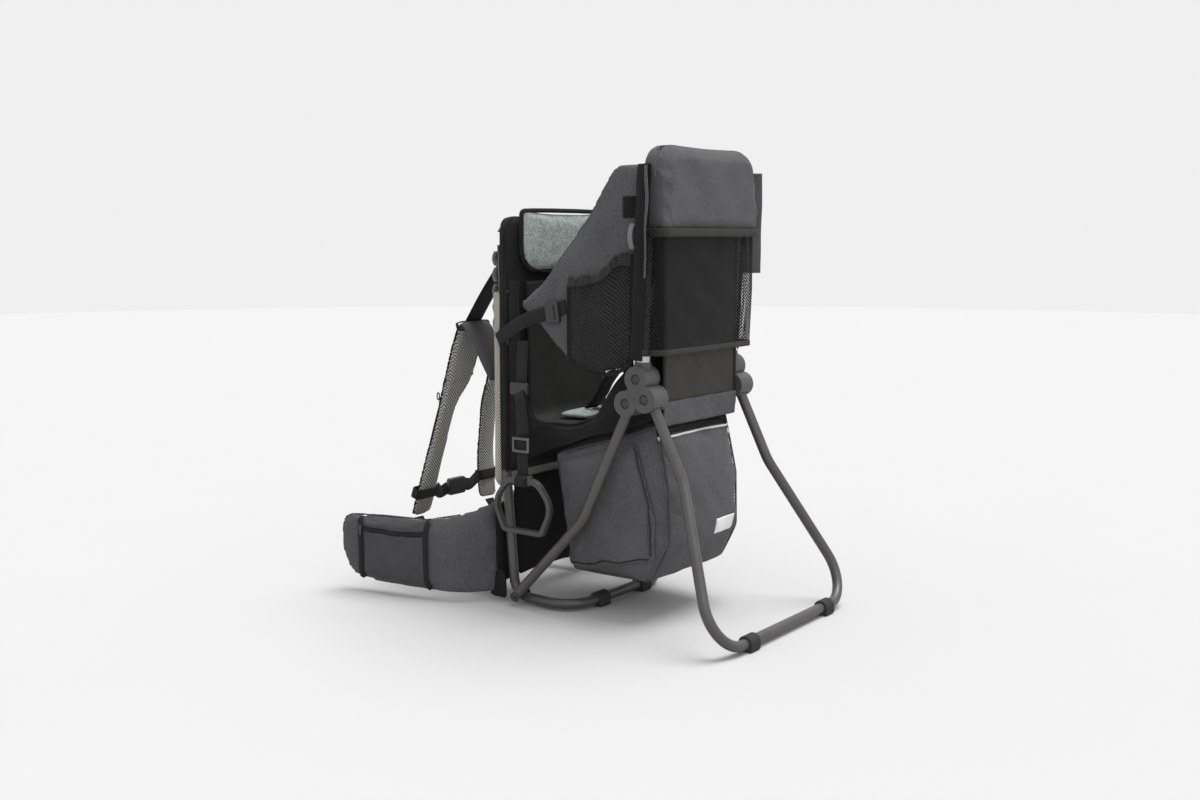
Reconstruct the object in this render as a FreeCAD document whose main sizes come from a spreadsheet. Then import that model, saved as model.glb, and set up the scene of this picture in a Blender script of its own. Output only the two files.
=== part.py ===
"""Framed child carrier backpack: tube frame with a fold-out kickstand, seat, storage bag and harness.

+X is the wearer's right, +Y the way the wearer faces and +Z is up. The carrier stands on z = 0.
All lengths are in millimetres. Pieces on the left (-X) are modelled and mirrored to the right.
"""
import FreeCAD, Part
import Sketcher
import math
import os
from FreeCAD import Placement, Rotation, Vector

SIZES = {
    # frame tubes
    "tube_diameter": 16.0,
    "tube_wall": 1.5,
    "frame_half_width": 122.0,
    "frame_top": 604.0,
    "frame_bend_radius": 50.0,
    "base_height": 11.5,
    "base_half_width": 131.0,
    "base_rear": 44.0,
    "seat_tube_top": 690.0,
    "sleeve_height": 62.0,
    # kickstand
    "pivot_back": 185.0,
    "pivot_height": 349.0,
    "kick_knee_back": 243.0,
    "kick_knee_height": 232.0,
    "kick_corner_half_width": 212.0,
    "kick_rear": 353.0,
    "kick_bend_radius": 55.0,
    "leg_end_step": 0.1,
    "fold_degrees": 44.0,
    # hubs and fasteners
    "hub_half_thickness": 18.0,
    "hub_lobe_radius": 19.5,
    "slot_half_width": 8.7,
    "rivet_radius": 4.0,
    "pivot_clearance": 0.06,
    "rivet_head_radius": 7.0,
    "rivet_head_height": 2.5,
    "foot_rivet_radius": 3.0,
    "foot_rivet_head_radius": 6.0,
    "foot_rivet_reach": 19.0,
    "collar_radius": 11.0,
    "collar_height": 9.0,
    # rubber feet
    "foot_wall": 3.5,
    "foot_length": 26.0,
    "base_foot_at": 57.0,
    "kick_foot_at": 114.0,
    # padding and fabric
    "panel_half_width": 137.0,
    "panel_back": 80.0,
    "panel_front": 108.0,
    "panel_top": 624.0,
    "panel_bottom": 205.0,
    "wing_inner": 118.0,
    "net_half_width": 135.0,
    "net_wall": 3.0,
    "net_bottom": 414.0,
    "net_height": 172.0,
    "headrest_depth": 44.0,
    "wing_thickness": 10.0,
    "pocket_bulge": 17.0,
    "pocket_wall": 3.5,
    "bag_half_width": 106.0,
    "bag_pocket_thickness": 5.0,
    "belt_thickness": 16.0,
    "belt_tip": 365.0,
    "belt_pocket_thickness": 8.0,
    "strap_width": 78.0,
    "strap_centre": 85.0,
    "strap_thickness": 13.0,
    "webbing_width": 22.0,
    "webbing_thickness": 1.6,
    "lifter_width": 38.0,
    "gap": 0.4,
    # stirrups
    "stirrup_plane": 152.0,
    "stirrup_thickness": 10.0,
    "stirrup_bar_back": 36.0,
    "stirrup_bar_height": 206.5,
    "loop_radius": 8.0,
    # buckles
    "button_radius": 9.0,
}

# Padded blocks: width along X, depth along Y, height along Z, centre and corner radius.
BLOCKS = {
    "back_mesh_pad": (206, 13.0, 372, 0, 114.9, 364, 5.5),
    "lumbar_pad": (222, 36.0, 108, 0, 126.4, 122, 15.0),
    "bag_label": (54, 1.2, 26, 45, -213.4, 136, 0.5),
    "bag_zipper": (196, 3.0, 9, 0, -193.0, 301, 1.2),
}

doc = FreeCAD.newDocument("child_carrier")
sheet = doc.addObject("Spreadsheet::Sheet", "sizes")
pieces = {}


def fill_sheet():
    """Writes every driving dimension to the sheet, one row each, with its alias."""
    for name, (width, depth, height, x, y, z, corner) in BLOCKS.items():
        values = {"width": width, "depth": depth, "height": height, "x": x, "y": y, "z": z, "corner": corner}
        for part, value in values.items():
            SIZES[f"{name}_{part}"] = value
    for row, (name, value) in enumerate(SIZES.items(), 1):
        sheet.set(f"A{row}", name)
        sheet.set(f"B{row}", str(value))
        sheet.setAlias(f"B{row}", name)
    doc.recompute()


def size(name):
    return float(getattr(sheet, name))


def keep(label, piece):
    """Names a finished sub-part; its label is its file's name."""
    piece.Label = label
    pieces[label] = piece
    return piece


# ---------------------------------------------------------------- shared building steps


def mirrored(piece):
    """The same piece on the other side of the carrier's centre plane."""
    copy = doc.addObject("Part::Mirroring", f"{piece.Name}_mirrored")
    copy.Source = piece
    copy.Normal = Vector(1, 0, 0)
    return copy


def both_sides(label, piece):
    """One node that holds a piece and its mirror image as separate solids."""
    pair = doc.addObject("Part::Compound", f"{label}_pair")
    pair.Links = [piece, mirrored(piece)]
    return keep(label, pair)


def left_and_right(name, piece):
    """Two nodes: the piece on the left and its mirror image on the right."""
    keep(f"{name}_left", piece)
    keep(f"{name}_right", mirrored(piece))


def cut(name, base, tool):
    result = doc.addObject("Part::Cut", name)
    result.Base = base
    result.Tool = tool
    return result


def fused(name, shapes):
    result = doc.addObject("Part::MultiFuse", name)
    result.Shapes = shapes
    return result


def common(name, base, tool):
    result = doc.addObject("Part::Common", name)
    result.Base = base
    result.Tool = tool
    return result


def cross_cylinder(name, radius, half_length, centre):
    """A cylinder along X, centred on a point, whose radius and half length are sheet expressions."""
    rod = doc.addObject("Part::Cylinder", name)
    rod.setExpression("Radius", radius)
    rod.setExpression("Height", f"2 * ({half_length})")
    rod.Placement = Placement(centre, Rotation(Vector(0, 1, 0), 90))
    rod.setExpression("Placement.Base.x", f"{centre.x} - ({half_length})")
    return rod


def bent_path(name, corners, radii):
    """A wire of straight runs joined by tangent arcs, one radius for each inner corner."""
    edges = []
    start = corners[0]
    for before, corner, after, radius in zip(corners, corners[1:], corners[2:], radii):
        back = (before - corner).normalize()
        onward = (after - corner).normalize()
        half_angle = back.getAngle(onward) / 2
        reach = radius / math.tan(half_angle)
        arc_start = corner + back * reach
        arc_end = corner + onward * reach
        sagitta = radius / math.sin(half_angle) - radius
        middle = corner + (back + onward).normalize() * sagitta
        if start.distanceToPoint(arc_start) > 0.01:
            edges.append(Part.LineSegment(start, arc_start).toShape())
        edges.append(Part.Arc(arc_start, middle, arc_end).toShape())
        start = arc_end
    if start.distanceToPoint(corners[-1]) > 0.01:
        edges.append(Part.LineSegment(start, corners[-1]).toShape())
    path = doc.addObject("Part::Feature", f"{name}_path")
    path.Shape = Part.Wire(edges)
    return path


def sweep(name, section, path):
    swept = doc.addObject("Part::Sweep", name)
    swept.Sections = [section]
    swept.Spine = (path, [f"Edge{number + 1}" for number in range(len(path.Shape.Edges))])
    swept.Solid = True
    swept.Frenet = False
    return swept


def round_sweep(name, corners, radii, radius):
    """A round bar along a bent path; radius is a sheet expression."""
    path = bent_path(name, corners, radii)
    section = doc.addObject("Part::Circle", f"{name}_section")
    section.setExpression("Radius", radius)
    section.Placement = Placement(corners[0], Rotation(Vector(0, 0, 1), corners[1] - corners[0]))
    return sweep(name, section, path)


def bent_tube(name, corners, radii):
    """The outer bar and the hollow tube along one path."""
    outer = round_sweep(f"{name}_outer", corners, radii, "sizes.tube_diameter / 2")
    bore = round_sweep(f"{name}_bore", corners, radii, "sizes.tube_diameter / 2 - sizes.tube_wall")
    return outer, cut(f"{name}_tube", outer, bore)


def strap(name, corners, radii, width_axis, width, thickness):
    """A flat band along a bent path; its width lies along width_axis and keeps a constant thickness."""
    path = bent_path(name, corners, radii)
    onward = (corners[1] - corners[0]).normalize()
    across = (width_axis - onward * width_axis.dot(onward)).normalize()
    normal = onward.cross(across)
    outline = [
        corners[0] + across * (side * width / 2) + normal * (face * thickness / 2)
        for side, face in ((-1, -1), (1, -1), (1, 1), (-1, 1), (-1, -1))
    ]
    section = doc.addObject("Part::Feature", f"{name}_section")
    section.Shape = Part.makePolygon(outline)
    return sweep(name, section, path)


def sketch_on(body, plane, start):
    """A sketch on one of the body's origin planes, moved along its normal by a sheet expression."""
    sketch = body.newObject("Sketcher::SketchObject", f"{body.Name}_outline")
    origin_plane = next(feature for feature in body.Origin.OriginFeatures if feature.Role == plane)
    sketch.AttachmentSupport = [(origin_plane, "")]
    sketch.MapMode = "FlatFace"
    sketch.setExpression("AttachmentOffset.Base.z", start)
    return sketch


def draw_outline(sketch, corners):
    """Closed outline through (u, v, radius) corners; a radius above zero rounds its corner."""
    count = len(corners)
    ends = []
    for number, (u, v, radius) in enumerate(corners):
        corner = Vector(u, v, 0)
        back = (Vector(*corners[number - 1][:2], 0) - corner).normalize()
        onward = (Vector(*corners[(number + 1) % count][:2], 0) - corner).normalize()
        half_angle = back.getAngle(onward) / 2
        reach = radius / math.tan(half_angle)
        sagitta = radius / math.sin(half_angle) - radius
        middle = corner + (back + onward).normalize() * sagitta
        ends.append((corner + back * reach, middle, corner + onward * reach, radius))
    for number, (arc_start, middle, arc_end, radius) in enumerate(ends):
        if radius > 0:
            sketch.addGeometry(Part.Arc(arc_start, middle, arc_end))
        following = ends[(number + 1) % count][0]
        if arc_end.distanceToPoint(following) > 0.01:
            sketch.addGeometry(Part.LineSegment(arc_end, following))
    total = sketch.GeometryCount
    for number in range(total):
        nearest = (number + 1) % total
        end_point = sketch.getPoint(number, 2)
        position = 1 if sketch.getPoint(nearest, 1).distanceToPoint(end_point) < 0.01 else 2
        own = 2
        if sketch.getPoint(nearest, position).distanceToPoint(end_point) > 0.01:
            own = 1
            end_point = sketch.getPoint(number, 1)
            position = 1 if sketch.getPoint(nearest, 1).distanceToPoint(end_point) < 0.01 else 2
        sketch.addConstraint(Sketcher.Constraint("Coincident", number, own, nearest, position))


def draw_rectangle(sketch, width, height, centre_u, centre_v):
    """A rectangle whose four sizes are constraints bound to sheet expressions."""
    points = [Vector(-1, -1, 0), Vector(1, -1, 0), Vector(1, 1, 0), Vector(-1, 1, 0)]
    for number in range(4):
        sketch.addGeometry(Part.LineSegment(points[number], points[(number + 1) % 4]))
        sketch.addConstraint(Sketcher.Constraint("Horizontal" if number % 2 == 0 else "Vertical", number))
    for number in range(4):
        sketch.addConstraint(Sketcher.Constraint("Coincident", number, 2, (number + 1) % 4, 1))
    bound = [
        ("DistanceX", (0, 1, 0, 2, 2.0), width),
        ("DistanceY", (1, 1, 1, 2, 2.0), height),
        ("DistanceX", (-1, 1, 0, 1, -1.0), f"{centre_u} - ({width}) / 2"),
        ("DistanceY", (-1, 1, 0, 1, -1.0), f"{centre_v} - ({height}) / 2"),
    ]
    for kind, reference, expression in bound:
        number = sketch.addConstraint(Sketcher.Constraint(kind, *reference))
        sketch.setExpression(f"Constraints[{number}]", expression)


def soften(body, pad, radius):
    """Rounds the rims of both end faces of a pad, by a sheet expression."""
    doc.recompute()
    normal = pad.Profile[0].Placement.Rotation.multVec(Vector(0, 0, 1))
    rims = set()
    for face in pad.Shape.Faces:
        if face.Surface.TypeId == "Part::GeomPlane" and abs(face.normalAt(0, 0).dot(normal)) > 0.999:
            for edge in face.Edges:
                rims.add(next(n + 1 for n, other in enumerate(pad.Shape.Edges) if other.isSame(edge)))
    fillet = body.newObject("PartDesign::Fillet", f"{body.Name}_rims")
    fillet.Base = (pad, [f"Edge{number}" for number in sorted(rims)])
    fillet.setExpression("Radius", radius)
    body.Tip = fillet


def plate(name, plane, corners, start, thickness, rim=None):
    """A body padded from an outline along its plane's normal, with optional rounded rims."""
    body = doc.addObject("PartDesign::Body", name)
    sketch = sketch_on(body, plane, start)
    draw_outline(sketch, corners)
    pad = body.newObject("PartDesign::Pad", f"{name}_pad")
    pad.Profile = sketch
    pad.setExpression("Length", thickness)
    body.Tip = pad
    if rim:
        soften(body, pad, rim)
    return body


def block(name):
    """A padded block with rounded corners, from its seven sheet values."""
    body = doc.addObject("PartDesign::Body", name)
    sketch = sketch_on(body, "XY_Plane", f"sizes.{name}_z - sizes.{name}_height / 2")
    draw_rectangle(sketch, f"sizes.{name}_width", f"sizes.{name}_depth", f"sizes.{name}_x", f"sizes.{name}_y")
    pad = body.newObject("PartDesign::Pad", f"{name}_pad")
    pad.Profile = sketch
    pad.setExpression("Length", f"sizes.{name}_height")
    doc.recompute()
    fillet = body.newObject("PartDesign::Fillet", f"{name}_corners")
    fillet.Base = (pad, [f"Edge{number + 1}" for number in range(len(pad.Shape.Edges))])
    fillet.setExpression("Radius", f"sizes.{name}_corner")
    body.Tip = fillet
    return body


def mirror_points(corners):
    """A left-hand run of corners followed by its mirror image, for a U-shaped path."""
    return corners + [Vector(-corner.x, corner.y, corner.z) for corner in reversed(corners)]


# ---------------------------------------------------------------- places shared by several pieces


def seat_rivet_at():
    return Vector(-size("frame_half_width"), -170, 378)


def strut_rivet_at():
    return Vector(-size("frame_half_width"), -151, 341)


def pivot_at():
    return Vector(-size("frame_half_width"), -size("pivot_back"), size("pivot_height"))


def foot_rivet_at():
    return Vector(-131.9, 60, 17.5)


def hip_root_at():
    return Vector(-133, 110, 87)


# ---------------------------------------------------------------- metal frame


def revolved_rivet(name, centre, half_length, shaft, head, head_height):
    """A rivet along X with a rounded head at each end; the four sizes are sheet expressions."""
    body = doc.addObject("PartDesign::Body", name)
    sketch = sketch_on(body, "XY_Plane", "0")
    reach = size(half_length)
    shaft_radius = size(shaft)
    head_radius = size(head)
    inside = reach - size(head_height)
    draw_outline(
        sketch,
        [
            (-reach, 0, 0),
            (reach, 0, 0),
            (reach, head_radius, size(head_height) * 0.9),
            (inside, head_radius, 0),
            (inside, shaft_radius, 0),
            (-inside, shaft_radius, 0),
            (-inside, head_radius, 0),
            (-reach, head_radius, size(head_height) * 0.9),
        ],
    )
    revolution = body.newObject("PartDesign::Revolution", f"{name}_turned")
    revolution.Profile = sketch
    revolution.ReferenceAxis = (sketch, ["H_Axis"])
    revolution.Angle = 360
    body.Tip = revolution
    body.Placement = Placement(centre, Rotation())
    return body


def build_tubes():
    """The fixed tubes; returns their outer bars, which other pieces are cut by."""
    half = size("frame_half_width")
    sleeve = Vector(-half, 83, size("sleeve_height"))
    bend = size("frame_bend_radius")
    base = size("base_height")
    seat_rivet = seat_rivet_at()
    strut_rivet = strut_rivet_at()
    back_corners = mirror_points([sleeve, Vector(-half, 96, 210), Vector(-half, 93, size("frame_top"))])
    back_outer, back_tube = bent_tube("back_frame", back_corners, [400, bend, bend, 400])
    base_corners = mirror_points(
        [sleeve, Vector(-half, 79, base), Vector(-size("base_half_width"), -size("base_rear"), base)]
    )
    base_outer, base_tube = bent_tube("base", base_corners, [30, bend, bend, 30])
    seat_corners = mirror_points(
        [seat_rivet + Vector(0, 0.4, -10.5), Vector(-half, -183, size("seat_tube_top"))]
    )
    seat_outer, seat_tube = bent_tube("seat_frame", seat_corners, [bend, bend])
    strut_corners = [strut_rivet + Vector(0, -4, 9), Vector(-131, -67.5, 154), Vector(-140.4, 67, 11)]
    strut_outer, strut_tube = bent_tube("side_strut", strut_corners, [80])

    through = "sizes.hub_half_thickness"
    seat_hole = cross_cylinder("seat_rivet_hole", "sizes.rivet_radius", through, seat_rivet)
    strut_hole = cross_cylinder("strut_rivet_hole", "sizes.rivet_radius", through, strut_rivet)
    foot_hole = cross_cylinder("foot_rivet_hole", "sizes.foot_rivet_radius", "25", foot_rivet_at())
    seat_holes = fused("seat_tube_holes", [seat_hole, mirrored(seat_hole)])
    base_holes = fused("base_tube_holes", [foot_hole, mirrored(foot_hole)])
    strut_holes = fused("strut_holes", [strut_hole, foot_hole])
    keep("back_frame_tube", back_tube)
    keep("base_tube", cut("base_tube_drilled", base_tube, base_holes))
    keep("seat_frame_tube", cut("seat_tube_drilled", seat_tube, seat_holes))
    left_and_right("side_strut", cut("side_strut_drilled", strut_tube, strut_holes))
    return {"back": back_outer, "base": base_outer, "seat": seat_outer, "strut": strut_outer}


def build_kickstand():
    """The U-shaped stand, its closed leg ends drilled for the pivot rivets, and its rubber feet."""
    pivot = pivot_at()
    knee = Vector(-size("frame_half_width"), -size("kick_knee_back"), size("kick_knee_height"))
    corner = Vector(-size("kick_corner_half_width"), -size("kick_rear"), size("base_height"))
    corners = mirror_points([pivot, knee, corner])
    bend = size("kick_bend_radius")
    outer, tube = bent_tube("kickstand", corners, [60, bend, bend, 60])
    ends = []
    for side, centre in (("left", pivot), ("right", Vector(-pivot.x, pivot.y, pivot.z))):
        end = doc.addObject("Part::Sphere", f"leg_end_{side}")
        end.setExpression("Radius", "sizes.tube_diameter / 2 - sizes.leg_end_step")
        end.Placement.Base = centre
        ends.append(end)
    closed = fused("kickstand_closed", [tube] + ends)
    hole_radius = "sizes.rivet_radius + sizes.pivot_clearance"
    hole = cross_cylinder("pivot_hole", hole_radius, "sizes.hub_half_thickness", pivot)
    holes = fused("pivot_holes", [hole, mirrored(hole)])
    keep("kickstand_tube", cut("kickstand_drilled", closed, holes))
    foot = rubber_foot("kick_foot", -size("kick_foot_at"), -size("kick_rear"), outer)
    both_sides("kickstand_feet", foot)


def rubber_foot(name, x, y, tube_outer):
    """A flat-bottomed rubber sleeve round a foot tube, resting on the floor."""
    centre = size("base_height")
    outer = size("tube_diameter") / 2 + size("foot_wall")
    crown = outer * 0.97
    corners = [
        (y - outer, 0, 3),
        (y + outer, 0, 3),
        (y + outer, centre + outer, crown),
        (y - outer, centre + outer, crown),
    ]
    sleeve = plate(name, "YZ_Plane", corners, f"{x} - sizes.foot_length / 2", "sizes.foot_length", "1.2")
    return cut(f"{name}_bored", sleeve, tube_outer)


def build_hubs(bars):
    """Two moulded halves a side: three lobes round the rivets, a collar boss and a slot for the leg."""
    seat_rivet = seat_rivet_at()
    strut_rivet = strut_rivet_at()
    pivot = pivot_at()
    reach = "sizes.hub_half_thickness"
    lobes = [
        cross_cylinder(f"{name}_lobe", "sizes.hub_lobe_radius", reach, centre)
        for name, centre in (("seat", seat_rivet), ("strut", strut_rivet), ("pivot", pivot))
    ]
    middle = (seat_rivet + strut_rivet + pivot) * (1 / 3)
    web_corners = []
    for centre in (seat_rivet, strut_rivet, pivot):
        corner = middle + (centre - middle) * 1.7
        web_corners.append((corner.y, corner.z, 6))
    web = plate(
        "hub_web", "YZ_Plane", web_corners, "-sizes.frame_half_width - sizes.hub_half_thickness",
        "2 * sizes.hub_half_thickness",
    )
    boss = doc.addObject("Part::Cylinder", "collar_boss")
    boss.setExpression("Radius", "sizes.collar_radius + 1.5")
    boss.Height = 25
    up_tube = Vector(0, -13, 312)
    boss.Placement = Placement(seat_rivet, Rotation(Vector(0, 0, 1), up_tube))
    solid = fused("hub_solid", lobes + [web, boss])

    slot_reach = 70
    wide = size("tube_diameter") / 2 + 1.0
    leg_angle = math.atan2(size("kick_knee_back") - size("pivot_back"), pivot.z - size("kick_knee_height"))
    fold = math.radians(size("fold_degrees"))

    def fan_point(angle, along, across):
        return (
            pivot.y + along * math.sin(angle) + across * math.cos(angle),
            pivot.z - along * math.cos(angle) + across * math.sin(angle),
            0,
        )

    fan = [
        fan_point(-leg_angle, 0, -wide),
        fan_point(-leg_angle, slot_reach, -wide),
        fan_point(fold - leg_angle, slot_reach, wide),
        fan_point(fold - leg_angle, 0, wide),
    ]
    sweep_room = plate(
        "leg_room", "YZ_Plane", fan, "-sizes.frame_half_width - sizes.slot_half_width",
        "2 * sizes.slot_half_width",
    )
    end_room = cross_cylinder("leg_end_room", "sizes.tube_diameter / 2 + 1", "sizes.slot_half_width", pivot)
    holes = []
    head_room = "sizes.rivet_head_radius + 0.4"
    head_depth = "sizes.rivet_head_height / 2"
    for name, centre in (("seat", seat_rivet), ("strut", strut_rivet), ("pivot", pivot)):
        holes.append(cross_cylinder(f"{name}_shaft_hole", "sizes.rivet_radius", reach, centre))
        for side in (-1, 1):
            offset = Vector(side * (size("hub_half_thickness") - size("rivet_head_height") / 2), 0, 0)
            holes.append(cross_cylinder(f"{name}_head_recess", head_room, head_depth, centre + offset))
    hollow = fused("hub_hollow", [bars["seat"], bars["strut"], sweep_room, end_room] + holes)
    hub = cut("hub_moulding", solid, hollow)
    for name, start in (
        ("hub_outer", "-sizes.frame_half_width - 30"),
        ("hub_inner", "-sizes.frame_half_width"),
    ):
        window = [(-300, 250, 0), (-50, 250, 0), (-50, 450, 0), (-300, 450, 0)]
        half_space = plate(f"{name}_side", "YZ_Plane", window, start, "30")
        left_and_right(name, common(f"{name}_half", hub, half_space))


def build_fasteners(bars):
    reach = "hub_half_thickness"
    sizes = ("rivet_radius", "rivet_head_radius", "rivet_head_height")
    seat_rivet = revolved_rivet("seat_rivet", seat_rivet_at(), reach, *sizes)
    strut_rivet = revolved_rivet("strut_rivet", strut_rivet_at(), reach, *sizes)
    pivot_rivet = revolved_rivet("pivot_rivet", pivot_at(), reach, *sizes)
    hub_rivets = doc.addObject("Part::Compound", "hub_rivets_left")
    hub_rivets.Links = [seat_rivet, strut_rivet, pivot_rivet]
    both_sides("hub_rivets", hub_rivets)
    foot_sizes = ("foot_rivet_radius", "foot_rivet_head_radius", "rivet_head_height")
    both_sides("foot_rivets", revolved_rivet("foot_rivet", foot_rivet_at(), "foot_rivet_reach", *foot_sizes))

    collar = doc.addObject("Part::Cylinder", "collar")
    collar.setExpression("Radius", "sizes.collar_radius")
    collar.setExpression("Height", "sizes.collar_height")
    up_tube = Vector(0, -13, 312)
    along = (up_tube * 1.0).normalize()
    collar.Placement = Placement(seat_rivet_at() + along * 25, Rotation(Vector(0, 0, 1), up_tube))
    both_sides("tube_collars", cut("collar_bored", collar, bars["seat"]))

    foot = rubber_foot("base_foot", -size("base_foot_at"), -size("base_rear"), bars["base"])
    both_sides("base_feet", foot)
    guard_corners = [(102.6, 4, 3), (111.4, 4, 4), (111.4, 60, 4), (102.6, 60, 3)]
    guard = plate("corner_guard", "YZ_Plane", guard_corners, "-126", "28", "1.5")
    both_sides("corner_guards", guard)


# ---------------------------------------------------------------- seat, back and bag


def build_back(bars):
    """The padded back with the frame tube inside it, and the pads on both its faces."""
    half = size("panel_half_width")
    top = size("panel_top")
    bottom = size("panel_bottom")
    corners = [(-half, bottom, 8), (half, bottom, 8), (half, top, 26), (-half, top, 26)]
    depth = "sizes.panel_front - sizes.panel_back"
    slab = plate("back_slab", "XZ_Plane", corners, "-sizes.panel_front", depth, "6")
    keep("back_panel", cut("back_slab_sleeved", slab, bars["back"]))
    lower = [(-110, 32, 20), (110, 32, 20), (110, bottom - 0.5, 6), (-110, bottom - 0.5, 6)]
    keep("lower_panel", plate("lower_panel", "XZ_Plane", lower, "-102", "14", "5"))
    face = [(-116, 523, 46), (116, 523, 46), (116, 629, 14), (-116, 629, 14)]
    keep("face_pad", plate("face_pad", "XZ_Plane", face, "-(sizes.panel_back - sizes.gap)", "14", "5"))
    keep("back_mesh_pad", block("back_mesh_pad"))
    keep("lumbar_pad", block("lumbar_pad"))


def build_seat(bars):
    """Fabric sling seat with its pads, head padding, pockets and five-point harness."""
    across = Vector(1, 0, 0)
    sling_path = [
        Vector(0, 74.5, 515), Vector(0, 68, 292), Vector(0, -20, 292), Vector(0, -152, 345),
        Vector(0, -183, 588),
    ]
    keep("seat_sling", strap("seat_sling", sling_path, [26, 60, 40], across, 190, 5))
    pad_path = [Vector(0, 52, 301.4), Vector(0, -19, 301.4), Vector(0, -138, 349.6)]
    keep("seat_pad", strap("seat_pad", pad_path, [52], across, 124, 10))

    rear = [(-101, 334, 8), (101, 334, 8), (101, 590, 8), (-101, 590, 8)]
    keep("seat_rear_panel", plate("seat_rear_panel", "XZ_Plane", rear, "190", "5", "1.5"))
    cap = [(-134, 592, 8), (134, 592, 8), (134, 720, 46), (-134, 720, 46)]
    cap_back = plate("headrest_back", "XZ_Plane", cap, "174", "sizes.headrest_depth", "12")
    lip = [(-108, 596, 8), (108, 596, 8), (108, 706, 34), (-108, 706, 34)]
    cap_front = plate("headrest_front", "XZ_Plane", lip, "162", "sizes.headrest_depth / 2", "5")
    headrest = fused("headrest_pad", [cap_back, cap_front])
    keep("headrest", cut("headrest_sleeved", headrest, bars["seat"]))
    build_rear_pocket()

    wing = [
        (-157.6, 407, 4), (-140, 388, 12), (-94, 377, 20), (-46, 380, 14), (21, 441, 60), (66, 475, 5),
        (64, 484, 5), (22, 518, 60), (-56, 615, 200), (-94, 672, 40), (-113, 694, 16), (-172.5, 694, 8),
    ]
    outer_face = "-(sizes.wing_inner + sizes.wing_thickness)"
    side_wing = plate("side_wing", "YZ_Plane", wing, outer_face, "sizes.wing_thickness", "3")
    left_and_right("side_wing", side_wing)
    pocket = [(-157, 408, 10), (-140, 390, 14), (-60, 379, 24), (-38, 400, 24), (-38, 516, 8), (-157, 546, 8)]
    pocket_start = "-(sizes.wing_inner + sizes.wing_thickness + sizes.gap + sizes.pocket_bulge)"
    pocket_outside = plate("side_pocket_outside", "YZ_Plane", pocket, pocket_start, "sizes.pocket_bulge", "6")
    inside = [(-152, 412, 8), (-136, 396, 10), (-62, 386, 20), (-44, 402, 18), (-44, 560, 0), (-152, 580, 0)]
    pocket_inside = plate(
        "side_pocket_inside", "YZ_Plane", inside, f"{pocket_start} + sizes.pocket_wall",
        "sizes.pocket_bulge - 2 * sizes.pocket_wall",
    )
    left_and_right("side_mesh_pocket", cut("side_pocket", pocket_outside, pocket_inside))
    patch = [(-166, 612, 2), (-140, 612, 2), (-140, 643, 2), (-166, 643, 2)]
    patch_start = "-(sizes.wing_inner + sizes.wing_thickness + 1.2)"
    both_sides("hook_patches", plate("hook_patch", "YZ_Plane", patch, patch_start, "1.1"))

    flap = doc.addObject("Part::Box", "canopy_flap")
    flap.Length = 30
    flap.Width = 3
    flap.Height = 158
    flap.Placement = Placement(Vector(-138, -184, 527), Rotation(Vector(0, 0, 1), 217))
    both_sides("canopy_flaps", flap)


def build_rear_pocket():
    """Net pocket that wraps the seat's back from one side wing to the other, open at its top."""
    half = size("net_half_width")
    wall = size("net_wall")
    front = -160
    rear = -213
    outline = [(half, front, 0), (-half, front, 0), (-half, rear, 17), (half, rear, 17)]
    outside = plate("rear_pocket_outside", "XY_Plane", outline, "sizes.net_bottom", "sizes.net_height")
    inner = half - wall
    back = rear + wall
    opening = front + 5
    hollow = [(inner, opening, 0), (-inner, opening, 0), (-inner, back, 14), (inner, back, 14)]
    room = plate("rear_pocket_room", "XY_Plane", hollow, "sizes.net_bottom + 4", "sizes.net_height")
    ledge = -196
    below = [(inner, opening, 0), (-inner, opening, 0), (-inner, ledge, 0), (inner, ledge, 0)]
    no_floor = plate("rear_pocket_below", "XY_Plane", below, "sizes.net_bottom - 4", "12")
    hollows = fused("rear_pocket_hollow", [room, no_floor])
    keep("rear_mesh_pocket", cut("rear_pocket", outside, hollows))


def build_harness():
    """Shoulder and crotch straps that meet at a buckle with a push button."""
    across = Vector(1, 0, 0)
    shoulder = strap(
        "harness_shoulder",
        [Vector(-44, -150, 640), Vector(-44, -122, 500), Vector(-26, -44, 414)],
        [90], across, 30, 5,
    )
    both_sides("harness_straps", shoulder)
    crotch = [Vector(0, 18, 308.6), Vector(0, -14, 350), Vector(0, -31, 371.5)]
    keep("crotch_strap", strap("crotch_strap", crotch, [60], across, 34, 4))
    shell_outline = [(-21, 374, 8), (21, 374, 8), (21, 416, 8), (-21, 416, 8)]
    shell = plate("buckle_shell", "XZ_Plane", shell_outline, "24", "14", "3")
    well = doc.addObject("Part::Cylinder", "button_well")
    well.setExpression("Radius", "sizes.button_radius + 0.3")
    well.Height = 9
    well.Placement = Placement(Vector(0, -32, 395), Rotation(Vector(0, 0, 1), Vector(0, 1, 0)))
    keep("harness_buckle", cut("buckle_recessed", shell, well))
    button = doc.addObject("Part::Cylinder", "button")
    button.setExpression("Radius", "sizes.button_radius")
    button.Height = 5.5
    button.Placement = Placement(Vector(0, -28, 395), Rotation(Vector(0, 0, 1), Vector(0, 1, 0)))
    keep("harness_button", button)


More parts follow.
